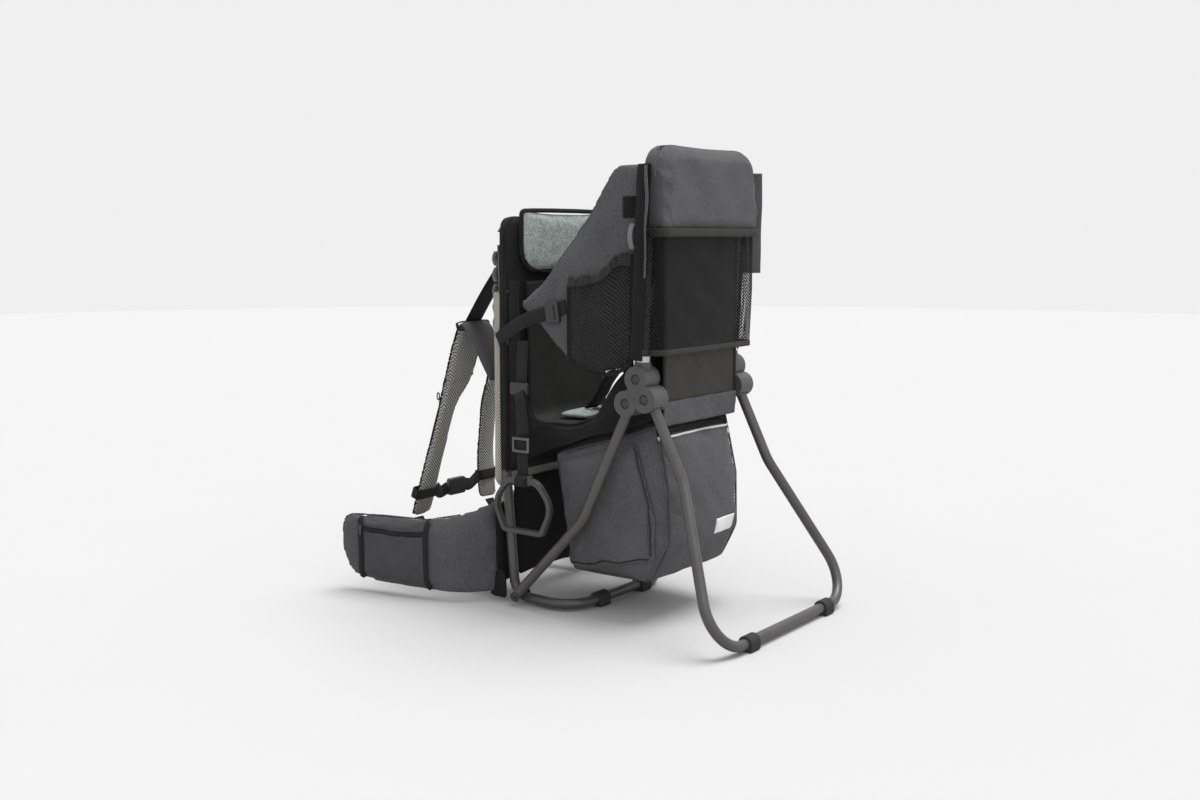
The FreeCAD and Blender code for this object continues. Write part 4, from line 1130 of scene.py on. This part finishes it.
def build_body_pads():
    low, high = box_mm("back_mesh_pad")
    outline = rounded([(low.x, low.z, 16), (high.x, low.z, 16), (high.x, high.z, 22), (low.x, high.z, 22)])
    rim = inset(outline, 9)
    seams = [(looped(rim), 2.5, 1.6, 1)]
    seams += [([(x, low.z + 14), (x, high.z - 14)], 5.0, 3.2, 1) for x in (-36, 36)]
    seams += [([(a, z), (b, z)], 3.0, 1.6, 1) for z in (270, 362, 454) for a, b in ((-96, -40), (40, 96))]
    pad_back = pad("back_mesh_cushion", outline, high.y - low.y, facing_front((low.y + high.y) / 2),
                   [LOOK["mesh_beige"], LOOK["black"]], 4.0, 6.0, seams)
    add(pad_back, "grey_mesh", nodes=["back_mesh_pad"], fill=0.6)
    edge = [(u, (low.y + high.y) / 2, v) for u, v in outline]
    add(laid("back_mesh_piping", pad_back, edge, round_section(1.4), "binding", 0.3, closed=True),
        "black_fabric")

    low, high = box_mm("lumbar_pad")
    outline = rounded([(low.x, low.z, 30), (high.x, low.z, 30), (high.x, high.z, 30), (low.x, high.z, 30)])
    rim = inset(outline, 13)
    seams = [(looped(rim), 4.0, 2.2, 1), ([(-80, 122), (80, 122)], 6.0, 3.0, 1)]
    lumbar = pad("lumbar_cushion", outline, high.y - low.y, facing_front((low.y + high.y) / 2),
                 [LOOK["mesh_beige"]], 7.0, 6.0, seams)
    add(lumbar, "grey_mesh", nodes=["lumbar_pad"], fill=0.75)

    low, high = box_mm("face_pad")
    corners = [(low.x, low.z, 56), (high.x, low.z, 56), (high.x, high.z, 16), (low.x, high.z, 16)]
    outline = rounded(corners, 10)
    middle = (low.y + high.y) / 2
    face = pad("face_fleece_pad", outline, high.y - low.y, facing_back(middle),
               [LOOK["fleece"], LOOK["black"]], 5.0, 5.0, [(inset(outline, 8)[:-1], 2.5, 1.2, 1)],
               split=lambda u, v, t: t < -3)
    add(face, "fleece", nodes=["face_pad"], fill=0.6)
    for name, y, radius in (("outer", low.y + 5, 3.8), ("inner", middle + 3, 3.0)):
        edge = [(u, y, v) for u, v in outline]
        points, normals = on_surface(face, edge, 0.6)
        points = eased(points, 3, True)
        add(swept(f"face_pad_piping_{name}", points, round_section(radius), normals, LOOK["binding"], True),
            "black_fabric")
        if name == "outer":
            loop = np.vstack([points, points[:1]])
            ups = np.vstack([normals, normals[:1]])
            add(stitches("face_pad_stitching", loop + ups * 2.5, ups, LOOK["grey_tape"]), "black_fabric")


# ---------------------------------------------------------------- seat and harness


def build_seat():
    path = bent_run([(0, 74.5, 515), (0, 68, 292), (0, -20, 292), (0, -152, 345), (0, -183, 588)],
                    [26, 60, 40])
    along = run_place(path, (1, 0, 0))
    half = box_mm("seat_sling")[1].x

    def sling(u, v):
        length = u * along.length
        across = (v - 0.5) * 2 * half
        slack = np.sin(np.pi * u) * (1.2 * ripple(length, across, 30, 3.0))
        return along(length, across, slack)

    size = (along.length, 2 * half)
    # The sling's lining colour carries painted shade for the inside of the seat.
    seat = cloth_sheet("seat_sling_cloth", sling, size, (150, 44), LOOK["seat_lining_painted_shade"], 3.0)
    add(seat, "black_fabric", nodes=["seat_sling"], flat=size, held="hung")
    for name, v in (("left", 0.008), ("right", 0.992)):
        edge = sling(np.linspace(0.005, 0.995, 140), np.full(140, v))
        side = -1 if name == "left" else 1
        add(swept(f"seat_sling_binding_{name}", edge, flat_section(5, 4.4), (side, 0, 0), LOOK["binding"]),
            "black_fabric")

    upper = smooth_run([(-95, 74, 345), (-96, 62, 303), (-97, 30, 292), (-97, -20, 291), (-97, -60, 306),
                        (-98, -84, 338), (-101, -108, 368), (-104, -135, 390), (-106, -164, 402)], 80)
    lower = smooth_run([(-101, 78, 226), (-103, 52, 238), (-104, 24, 250), (-104, -20, 264), (-104, -56, 278),
                        (-104, -84, 285), (-104, -110, 292), (-103, -145, 302), (-101, -178, 316)], 80)

    def skirt(u, v):
        share = np.linspace(0, 1, 80)
        top = sample(u, share, upper)
        foot = sample(u, share, lower)
        at = top + (foot - top) * v[:, None]
        at[:, 0] -= np.sin(np.pi * v) * (2.5 + 2.2 * ripple(at[:, 1], at[:, 2], 22, 5.0))
        return at

    size = (300, 56)
    side_cloth = cloth_sheet("seat_skirt_left", skirt, size, (110, 24), LOOK["black"], 1.6)
    add_pair(side_cloth, "black_fabric", flat=size, held="hung", rests_on=["seat_sling"])
    line = skirt(np.linspace(0.02, 0.98, 120), np.full(120, 0.1)) + (-1.2, 0, 0)
    add_pair(stitches("seat_skirt_stitching_left", line, np.tile((-1.0, 0, 0), (120, 1)), LOOK["thread"]),
             "black_fabric")

    pad_path = bent_run([(0, 52, 301.4), (0, -19, 301.4), (0, -138, 349.6)], [52])
    pad_place = run_place(pad_path, (1, 0, 0))
    length = pad_place.length
    outline = rounded([(2, -60, 24), (length - 2, -60, 24), (length - 2, 60, 24), (2, 60, 24)])
    seams = [([(20, 0), (length - 20, 0)], 4, 1.8, 0), ([(20, -30), (length - 20, -30)], 3, 1.0, 0),
             ([(20, 30), (length - 20, 30)], 3, 1.0, 0)]
    cushion = pad("seat_cushion", outline, 9.5, pad_place, [LOOK["fleece"]], 3.0, 5.0, seams)
    add(cushion, "fleece", nodes=["seat_pad"], fill=0.55)


def build_harness():
    straps = smooth_run([(-44, -150, 640), (-44, -136, 570), (-44, -122, 500), (-35, -83, 457),
                         (-26, -44, 414)], 60)
    padded_part = run_place(straps[:34], (1, 0, 0))
    sleeve = rounded([(3, -15, 6), (padded_part.length, -15, 8), (padded_part.length, 15, 8), (3, 15, 6)])
    cover = pad("harness_sleeve_left", sleeve, 7, padded_part, [LOOK["grey"]], 2.0, 4.0)
    add_pair(cover, "grey_fabric", fill=0.6)
    add_pair(swept("harness_webbing_left", straps, flat_section(26, 2.6), (0, 0.9, 0.3), LOOK["webbing"]),
             "webbing")
    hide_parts("harness_straps")
    crotch = [(0, 18, 308.6), (0, -2, 330), (0, -14, 350), (0, -31, 371.5)]
    add(band("crotch_webbing", crotch, (0, 0.8, 0.6), LOOK["webbing"], 34, 3.4, 30), "webbing",
        nodes=["crotch_strap"])


# ---------------------------------------------------------------- storage bag


BAG = [(24, 252, 18), (-13, 56, 20), (-178, 58, 38), (-213, 128, 50), (-210, 212, 60), (-185, 317, 10),
       (-110, 293, 60)]


def build_bag():
    low, high = box_mm("storage_bag")
    outline = rounded(BAG, 7)
    rim = inset(outline, 8)

    def folds(u, v, t):
        side = np.sign(t) * (np.abs(t) > 84)
        sag = 3.2 * bump_at(u, v, (-90, 120), (70, 45)) - 2.0 * bump_at(u, v, (-60, 250), (60, 30))
        crease = -2.4 * bump_at(u - (v - 150) * 0.12, v, (-22, 150), (7, 70))
        crease -= 2.0 * bump_at(u + (v - 110) * 0.5, v, (-60, 110), (8, 30))
        return side * (sag + crease + 1.5 * ripple(u, v, 40, 5.0))

    bag = pad("storage_bag_body", outline, high.x - low.x, facing_left(0), [LOOK["grey"]], 8.0, 7.0,
              [(looped(rim), 3.0, 1.6, 0)], folds)
    points = coordinates(bag) / MM
    rear = np.clip((-150 - points[:, 1]) / 50, 0, 1) * np.cos(points[:, 0] / 106 * math.pi / 2).clip(0, 1)
    points[:, 1] += rear * (1.3 * ripple(points[:, 0], points[:, 2], 30, 9.0) - 1.0)
    floor = np.clip((80 - points[:, 2]) / 20, 0, 1)
    points[:, 2] += floor * 1.2 * ripple(points[:, 0], points[:, 1], 26, 6.0)
    set_coordinates(bag, points * MM)
    add(bag, "grey_fabric", nodes=["storage_bag"], fill=0.45)

    seam = [(low.x + 5, u, v) for u, v in inset(outline, 1)]
    add_pair(laid("bag_side_piping_left", bag, seam, round_section(1.5), "grey_plain", 0.3, 3, True),
             "grey_fabric")
    side_line = [(low.x - 6, u, v) for u, v in rim[4:]]
    add_pair(sewn("bag_side_stitching_left", bag, side_line, "thread", 0.1), "grey_fabric")
    build_bag_pockets(bag, low)
    build_bag_zip(bag, low, high)
    build_bag_label(bag)


def build_bag_pockets(bag, low):
    """An open pouch on each side of the bag, with its mouth, its rear lap and its foot seam."""
    outline = [(8, 66, 20), (-60, 66, 30), (-190, 100, 20), (-186, 180, 60), (-152, 284, 18), (-70, 262, 50),
               (8, 236, 20)]
    points_in = rounded(outline, 7)

    def place(u, v, t):
        outside = np.column_stack([np.full(len(u), low.x - 30), u, v])
        near, _ = on_surface(bag, outside, 0.0, (1, 0, 0))
        return near + np.outer(t + 2.6, (-1, 0, 0))

    def folds(u, v, t):
        crease = 2.6 * bump_at(u + (v - 200) * 0.22, v, (-118, 190), (9, 70))
        crease -= 2.2 * bump_at(u + (v - 200) * 0.22, v, (-134, 180), (7, 60))
        return (2.4 * bump_at(u, v, (-100, 105), (70, 30)) + 1.4 * ripple(u, v, 26, 8.0) + crease
                - 1.8 * bump_at(u - (v - 90) * 0.3, v, (-60, 95), (8, 34))) * (t > 0)

    pocket = pad("bag_side_pocket_left", points_in, 5.5, place, [LOOK["grey"]], 2.4, 5.0,
                 [(inset(points_in, 5)[6:], 2.0, 0.9, 1)], folds)
    add_pair(pocket, "grey_fabric", fill=0.35)
    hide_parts("bag_side_pockets")
    trims = [("lap", [(-149, 286), (-166, 240), (-180, 195), (-187, 150), (-188, 106)], flat_section(6, 1.2),
              "grey_plain"),
             ("seam", [(-153, 284), (-170, 240), (-184, 195), (-191, 150), (-192, 108)], round_section(1.3),
              "black_thread"),
             ("foot", [(-186, 100), (-150, 90), (-105, 76), (-60, 67), (-6, 68)], round_section(1.3),
              "black_thread")]
    for name, run, section, look in trims:
        line = [(low.x - 30, u, v) for u, v in smooth_run(run, 70)]
        add_pair(laid(f"bag_pocket_{name}_left", pocket, line, section, look, 0.0, 4, toward=(1, 0, 0)),
                 "grey_fabric")


def build_bag_zip(bag, low, high):
    zip_low, zip_high = box_mm("bag_zipper")
    level = (zip_low.z + zip_high.z) / 2 - 3
    across = np.linspace(low.x + 4, high.x - 4, 100)

    def on_bag(height, lift):
        points, normals = on_surface(bag, [(x, low.y - 30, height) for x in across], lift, (0, 1, 0))
        return eased(points, 4), eased(normals, 4)

    points, normals = on_bag(level + 1, 0.6)
    tape = swept("bag_zip_tape", points, flat_section(18, 1.6), normals, LOOK["binding"])
    add(tape, "zip_tape", nodes=["bag_zipper"])
    points, normals = on_bag(level, 1.3)
    add(zip_teeth("bag_zip_teeth", points, normals, LOOK["zip_teeth"]), "zip_tape")
    points, normals = on_bag(level - 10, 1.0)
    add(swept("bag_zip_piping", points, round_section(1.9), normals, LOOK["piping"]), "grey_fabric")
    points, normals = on_bag(level - 14, 0.1)
    add(stitches("bag_zip_stitching", points, normals, LOOK["thread"]), "grey_fabric")

    def yoke(u, v):
        """Grey strip from above the zip up behind the seat's rear cloth."""
        x = (low.x + 5) * (1 - 2 * u)
        z = level + 8 + 36 * v
        y = -192.5 - 2.2 * v + 1.3 * ripple(x, z, 20, 4.0) - 0.5
        return np.column_stack([-x, y, z])

    size = (high.x - low.x - 10, 36)
    strip = cloth_sheet("bag_yoke", yoke, size, (80, 14), LOOK["grey"], 1.8)
    add(strip, "grey_fabric", flat=size, held="hung", rests_on=["storage_bag"])


def build_bag_label(bag):
    """A blank woven label; it carries no lettering."""
    label_low, label_high = box_mm("bag_label")
    width, height = label_high.x - label_low.x, label_high.z - label_low.z

    def place(u, v):
        return np.column_stack([label_low.x + width * u, np.full(len(u), label_low.y - 4),
                                label_low.z + height * v])

    label = surface_patch("bag_blank_label", bag, place, (width, height), (20, 10), LOOK["label"], 0.7, 1.0)
    add(label, "label", nodes=["bag_label"], flat=(width, height), held="laid", rests_on=["storage_bag"])
    for name, at in (("left", 0.05), ("right", 0.95)):
        line = place(np.full(12, at), np.linspace(0.04, 0.96, 12))
        add(sewn(f"label_stitching_{name}", label, line, "grey_tape", 0.1, 2.4, 1.4, 0.3), "label")


# ---------------------------------------------------------------- shoulder straps and hip belt


def ring_round(place, at, half_v, half_t, centre_v=0.0, steps=40):
    """A closed loop round a strap at distance at along it, with its outward directions."""
    angles = np.linspace(0, 2 * math.pi, steps + 1)[:-1]
    v = np.sign(np.cos(angles)) * np.abs(np.cos(angles)) ** 0.35 * half_v + centre_v
    t = np.sign(np.sin(angles)) * np.abs(np.sin(angles)) ** 0.35 * half_t
    points = place(np.full(steps, at), v, t)
    return points, points - points.mean(axis=0)


def build_shoulder_strap(side, sign, drop, bends, lifter_foot):
    """One padded strap: rises off the back, turns over at its crest and narrows at the chest."""
    path = bent_run([(sign * 85, y, z) for y, z in [(129, 350), (199, 455)] + drop], bends)
    place = run_place(path, (1, 0, 0))
    length = place.length
    along = np.linspace(0, length, 300)
    heights = place(along, np.zeros(300), np.zeros(300))[:, 2]
    root_end = along[heights.argmax()] + 2
    falling = along > root_end

    def at_height(z):
        return float(np.interp(-z, -heights[falling], along[falling]))

    wide, narrow = at_height(345), at_height(305)
    shape = [(0, -39, 4), (root_end + 30, -39, 20), (wide, -38, 30), (narrow, -38, 30), (length, -36, 14),
             (length, 12, 14), (narrow, 15, 40), (wide, 38, 40), (root_end + 30, 39, 20), (0, 39, 4)]
    outline = rounded([(u, -sign * v, radius) for u, v, radius in shape])
    outer, inner = sign * 1.0, -sign * 1.0
    seams = [([(root_end, -36), (root_end, 36)], 2.5, 1.6, 0),
             ([(root_end + 6, outer * 31), (length - 12, outer * 30)], 2.6, 1.3, 0),
             ([(root_end + 6, inner * 31), (wide, inner * 30), (narrow, inner * 9), (length - 12, inner * 6)],
              2.6, 1.3, 0),
             ([(wide + 4, outer * 36), (wide - 12, inner * 36)], 3.0, 2.2, 0)]

    def kinds(u, v, t):
        return np.where(u < root_end, 2, np.where(t < 0.5, 1, 0))

    strap = pad(f"shoulder_strap_pad_{side}", outline, 13, place,
                [LOOK["mesh"], LOOK["grey"], LOOK["grey_plain"]], 4.0, 4.5, seams, None, kinds)
    add(strap, "grey_mesh", nodes=[f"shoulder_strap_{side}"], fill=0.6)
    inner_edge = ([root_end, wide, narrow, length - 10], [38.5, 37.5, 14.5, 11.5])
    outer_edge = ([root_end, length - 10], [38.5, 35.5])
    for name, turn, (at, width) in (("inner", inner, inner_edge), ("outer", outer, outer_edge)):
        run = np.linspace(root_end - 6, length - 6, 120)
        edge = place(run, turn * np.interp(run, at, width), np.full(120, -1.5))
        add(laid(f"shoulder_strap_piping_{name}_{side}", strap, edge, round_section(1.7), "binding", 0.3, 3),
            "black_fabric")
    points, ups = ring_round(place, root_end, 38.0, 7.2)
    add(swept(f"shoulder_strap_seam_{side}", points, flat_section(6, 1.6), ups, LOOK["binding"], True),
        "black_fabric")
    centre = outer * 12.0
    points, ups = ring_round(place, at_height(150), 26.0, 8.0, centre)
    sternum = flat_section(WEBBING_WIDTH - 4, 2.0)
    add(swept(f"sternum_band_{side}", points, sternum, ups, LOOK["webbing"], True), "webbing")
    loop_at = at_height(322)
    side_point = place(np.array([loop_at]), np.array([outer * 38.5]), np.array([0.0]))[0]
    ring = [side_point + (sign * (2.6 * math.cos(a) + 1.6), 0, 6 * math.sin(a))
            for a in np.linspace(0, 2 * math.pi, 18)[:-1]]
    add(swept(f"strap_side_ring_{side}", ring, round_section(1.0), (0, 1, 0), LOOK["buckle"], True),
        "webbing")

    foot = np.array((sign * 85, 198, lifter_foot))
    top = np.array((sign * 85, 121, 548))
    pull = [top + (foot - top) * s + (0, 2.5 * math.sin(math.pi * s), 0) for s in (0, 0.3, 0.6, 1)]
    lifter = band(f"load_lifter_{side}", pull, (0, 0.7, 0.7), LOOK["webbing"], 38, count=40)
    add(lifter, "webbing")
    root = [(sign * 85, 108, 562), (sign * 85, 115, 557), (sign * 85, 123, 545)]
    add(band(f"load_lifter_root_{side}", root, (0, 0.9, 0.4), LOOK["binding"], 42, 5.5, 16), "webbing")
    end_y, end_z = drop[-1]
    tail = bent_run([(sign * 97, end_y + 1, end_z - 1), (sign * 97, end_y - 35, end_z - 44),
                     (sign * 106, 113, 44)], [40])
    add(band(f"strap_tail_{side}", tail, (0, -0.2, 1), LOOK["webbing"], count=70), "webbing")


def build_shoulder_straps():
    build_shoulder_strap("left", -1, [(246, 310), (320, 104)], [16, 300], 448)
    build_shoulder_strap("right", 1, [(328, 300), (339, 190), (330, 104)], [16, 80, 200], 457)
    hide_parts("load_lifters")
    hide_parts("strap_tails")
    slack = [(-70, 305, 152), (-58, 309, 143), (-46, 313, 141), (-32.8, 312, 146)]
    add(band("sternum_webbing_left", slack, (0, 1, 0), LOOK["webbing"], count=30), "webbing",
        nodes=["sternum_strap"])
    far = [(10.8, 312, 146), (30, 318, 142), (52, 327, 145), (70, 331, 152)]
    add(band("sternum_webbing_right", far, (0, 1, 0), LOOK["webbing"], count=30), "webbing")


def hip_place(lift=0.0):
    """place for the left hip wing: u along the belt, v its height, t towards the wearer."""
    path = bent_run([(-133, 110, 0), (-181, 148, 0), (-228.8, 383.2, 0)], [75])
    return run_place(path, (0, 0, 1), lift)


def build_hip_belt():
    place = hip_place()
    body = "hip_wing_left"
    crossing = ((-0.133, 0.110, 0.087), (-0.172, 0.142, 0.087))
    outline = rounded([(-9, 4, 8), (113, 4, 60), (215, 8, 60), (275, 18, 40), (295, 70, 50), (290, 130, 40),
                       (200, 138, 60), (123, 138, 60), (62, 149, 60), (-9, 168, 10)], 8)
    rim = inset(outline, 8)

    def folds(u, v, t):
        return (1.3 * ripple(u, v, 34, 2.0) + 1.5 * bump_at(u, v, (60, 70), (40, 50))) * np.sign(t)

    wing = pad("hip_wing_pad_left", outline, 16, place, [LOOK["mesh"], LOOK["grey"]], 5.0, 6.0,
               [(rim[10:-10], 2.6, 1.2, 0)], folds)
    upper = [(u, v) for u, v in inset(outline, 3) if v > 60 and 8 < u < 286]
    add_pair(wing, "grey_fabric", body, ["hip_wing_left"], crossing, fill=0.6)
    u, v = np.array(upper).T
    edge = place(u, v, np.zeros(len(u)))
    add_pair(laid("hip_wing_piping_left", wing, edge, round_section(1.6), "grey_plain", 0.3, 3),
             "grey_fabric", body, blend=crossing)
    build_hip_pocket(wing, place, body)


INWARD = (0.98, 0.199, 0)
OUTSIDE = -40.0


def build_hip_pocket(wing, place, body):
    """The zipped pocket between two dark bands on the outside of the wing."""
    start, end = 112.0, 240.0
    outline = rounded([(start, 14, 10), (end, 24, 14), (end, 124, 12), (start, 131, 12)], 6)

    def on_wing(u, v, t):
        near, _ = on_surface(wing, place(u, v, np.full(len(u), OUTSIDE)), 0.0, INWARD)
        return near - np.outer(1.5 - t, INWARD)

    def folds(u, v, t):
        outside = t < 0
        belly = 2.6 * bump_at(u, v, (170, 52), (46, 26))
        mouth = -2.4 * np.exp(-((v - zip_line(u)) / 5.0) ** 2)
        creases = 1.5 * np.sin((u - 112) / 6.5) * np.exp(-((v - 24) / 9) ** 2)
        creases += 1.0 * ripple(u, v, 20, 6.0)
        return -(belly + mouth + creases) * outside

    def zip_line(u):
        return 107 - 3.2 * np.sin(np.pi * np.clip((u - start) / (end - start), 0, 1))

    pocket = pad("hip_pocket_pad_left", outline, 7.0, on_wing, [LOOK["grey_plain"]], 2.8, 4.0, [], folds)
    add_pair(pocket, "grey_fabric", body, ["hip_pocket_left"], fill=0.4)

    run = np.linspace(start + 7, end - 7, 80)
    far = np.full(80, OUTSIDE)
    points, normals = on_surface(pocket, place(run, zip_line(run), far), 0.6, INWARD)
    points, normals = eased(points, 6), eased(normals, 6)
    add_pair(swept("hip_pocket_zip_tape_left", points, flat_section(9, 1.4), normals, LOOK["binding"]),
             "zip_tape", body)
    add_pair(zip_teeth("hip_pocket_zip_teeth_left", points + normals * 0.6, normals, LOOK["zip_teeth"], 2.2,
                       1.9), "zip_tape", body)
    for name, drop in (("upper", 7.5), ("lower", -7.5)):
        points, normals = on_surface(pocket, place(run, zip_line(run) + drop, far), 0.1, INWARD)
        add_pair(stitches(f"hip_pocket_stitching_{name}_left", points, normals, LOOK["thread"]),
                 "grey_fabric", body)
    for name, at, low, high in (("rear", start - 1, 6, 138), ("front", end + 3, 13, 131)):
        up = np.linspace(low, high, 70)
        lean = at + 4 * np.sin((up - low) / (high - low) * math.pi * 0.9) * (1 if name == "rear" else -0.4)
        outer = place(lean, up, np.full(70, OUTSIDE))
        add_pair(laid(f"hip_pocket_band_{name}_left", wing, outer, flat_section(9, 2.2), "webbing", 3.2, 4,
                      toward=INWARD), "webbing", body)


# ---------------------------------------------------------------- stirrups and wing straps


def build_stirrup_straps():
    bar = np.array((-152, 36, 206.5))
    hanging = smooth_run([(-134.5, 49, 424), (-140, 46.5, 385), (-147, 43, 330), (-150.5, 38.5, 265),
                          (-151.8, 36.4, 230), (-152, 36, 216.2)], 70)
    strap = swept("stirrup_webbing_left", hanging, WEBBING, (-1, 0, 0), LOOK["webbing"])
    add_pair(strap, "webbing")
    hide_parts("stirrup_webbing")
    around = [bar + 8.8 * np.array((math.sin(a), 0, math.cos(a)))
              for a in np.linspace(0, 2 * math.pi, 25)[:-1]]
    outward = np.array(around) - bar
    add_pair(swept("stirrup_loop_left", around, WEBBING, outward, LOOK["webbing"], True), "webbing")
    tail = smooth_run([(-153.6, 42, 346), (-157.5, 37, 336), (-158, 33, 318), (-156.5, 31, 296),
                       (-157.5, 30, 282)], 40)
    add_pair(swept("stirrup_tail_left", tail, flat_section(20, 1.5), (-1, 0, 0.1), LOOK["webbing"]),
             "webbing")
    for k, z in enumerate((232, 239)):
        cross = np.array([(-152.9, 36.4 + d, z) for d in np.linspace(-9, 9, 10)])
        add_pair(stitches(f"stirrup_tack_left_{k}", cross, np.tile((-1, 0, 0), (10, 1)), LOOK["thread"]),
                 "webbing")
    build_treads()


def build_treads():
    """Grip teeth along each stirrup's tread and the raised housing round its webbing bar."""
    for side in ("left", "right"):
        turn = -1 if side == "left" else 1
        low, high = box_mm(f"stirrup_{side}")
        x = (low.x + high.x) / 2
        shape = bmesh.new()
        for y in np.arange(5.5, 68, 4.2):
            rings = []
            for across in (-4.2, 4.2):
                rings.append([shape.verts.new(np.array((x + across, y + a, 128.7 + b)) * MM)
                              for a, b in ((-1.5, 0), (-0.6, 1.7), (0.6, 1.7), (1.5, 0))])
            shape.faces.new(rings[0][::-1])
            shape.faces.new(rings[1])
            for k in range(4):
                after = (k + 1) % 4
                shape.faces.new((rings[0][k], rings[0][after], rings[1][after], rings[1][k]))
        teeth = from_bmesh(f"stirrup_teeth_{side}", shape)
        teeth.data.materials.append(LOOK["stirrup"])
        add(teeth, "buckle_plastic", f"stirrup_{side}")
        for name, y in (("rear", 22.2), ("front", 49.8)):
            post = smooth_run([(x, y, 200.5), (x, y, 206), (x, y, 215)], 8)
            section = [(-5.4, -2.2), (-4.4, -3.0), (4.4, -3.0), (5.4, -2.2), (5.4, 2.2), (4.4, 3.0),
                       (-4.4, 3.0), (-5.4, 2.2)]
            lug = swept(f"stirrup_lug_{name}_{side}", post, section, (0, turn, 0), LOOK["stirrup"])
            add(lug, "buckle_plastic", f"stirrup_{side}")


def build_wing_straps():
    path = smooth_run([(-130.6, -34, 480), (-131.5, 7, 468), (-136, 34, 459), (-138.6, 56, 449),
                       (-138.8, 98, 424)], 60)
    strap = swept("wing_webbing_left", path, WEBBING, (-1, 0.05, 0), LOOK["webbing"])
    add_pair(strap, "webbing")
    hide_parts("wing_straps")
    bar = smooth_run([(-136.2, -14.5, 459), (-136.2, -11, 481.5)], 12)
    add_pair(cord_line("wing_slider_bar_left", bar, 1.6, LOOK["buckle"], up=(-1, 0, 0)), "buckle_plastic")


# ---------------------------------------------------------------- studio


def build_studio():
    scene = bpy.context.scene
    scene.view_settings.view_transform = "Standard"

    data = bpy.data.cameras.new("camera")
    camera = bpy.data.objects.new("camera", data)
    scene.collection.objects.link(camera)
    data.sensor_width = 36.0
    data.lens = 39.345
    data.clip_end = 30.0
    camera.location = (-1.68935, -1.27487, 0.58653)
    forward = Vector((0.79203, 0.59770, -0.12429))
    camera.rotation_mode = "QUATERNION"
    camera.rotation_quaternion = forward.to_track_quat("-Z", "Y")
    scene.camera = camera

    world = bpy.data.worlds.new("studio")
    world.use_nodes = True
    world.node_tree.nodes["Background"].inputs["Color"].default_value = (0.871, 0.871, 0.871, 1)
    world.node_tree.nodes["Background"].inputs["Strength"].default_value = 1.0
    scene.world = world

    shape = bmesh.new()
    bmesh.ops.create_circle(shape, cap_ends=True, radius=9.0, segments=96)
    floor = from_bmesh("studio_floor", shape)
    floor.location.z = -0.0005
    pale, tree, shader = start_material("pale_floor", 1.0, specular=0.0)
    soft = noise(tree, 3, 2)
    colour = blend_colour(tree, soft, (0.446, 0.446, 0.446), (0.456, 0.456, 0.456))
    tree.links.new(colour, shader.inputs["Base Color"])
    floor.data.materials.append(pale)

    lights = (("top", (-0.25, 0.15, -1), 3.6, 40), ("rear", (0.5, 0.75, -0.5), 0.45, 60))
    for name, direction, strength, spread in lights:
        light = bpy.data.lights.new(f"{name}_light", "SUN")
        light.energy = strength
        light.angle = math.radians(spread)
        lamp = bpy.data.objects.new(f"{name}_light", light)
        lamp.rotation_mode = "QUATERNION"
        lamp.rotation_quaternion = Vector(direction).to_track_quat("-Z", "Y")
        scene.collection.objects.link(lamp)


build_studio()
finish_hard_nodes()
build_headrest()
build_rear_pocket()
build_wings()
build_canopy_flaps()
build_back_panel()
build_body_pads()
build_seat()
build_harness()
build_bag()
build_shoulder_straps()
build_hip_belt()
build_stirrup_straps()
build_wing_straps()
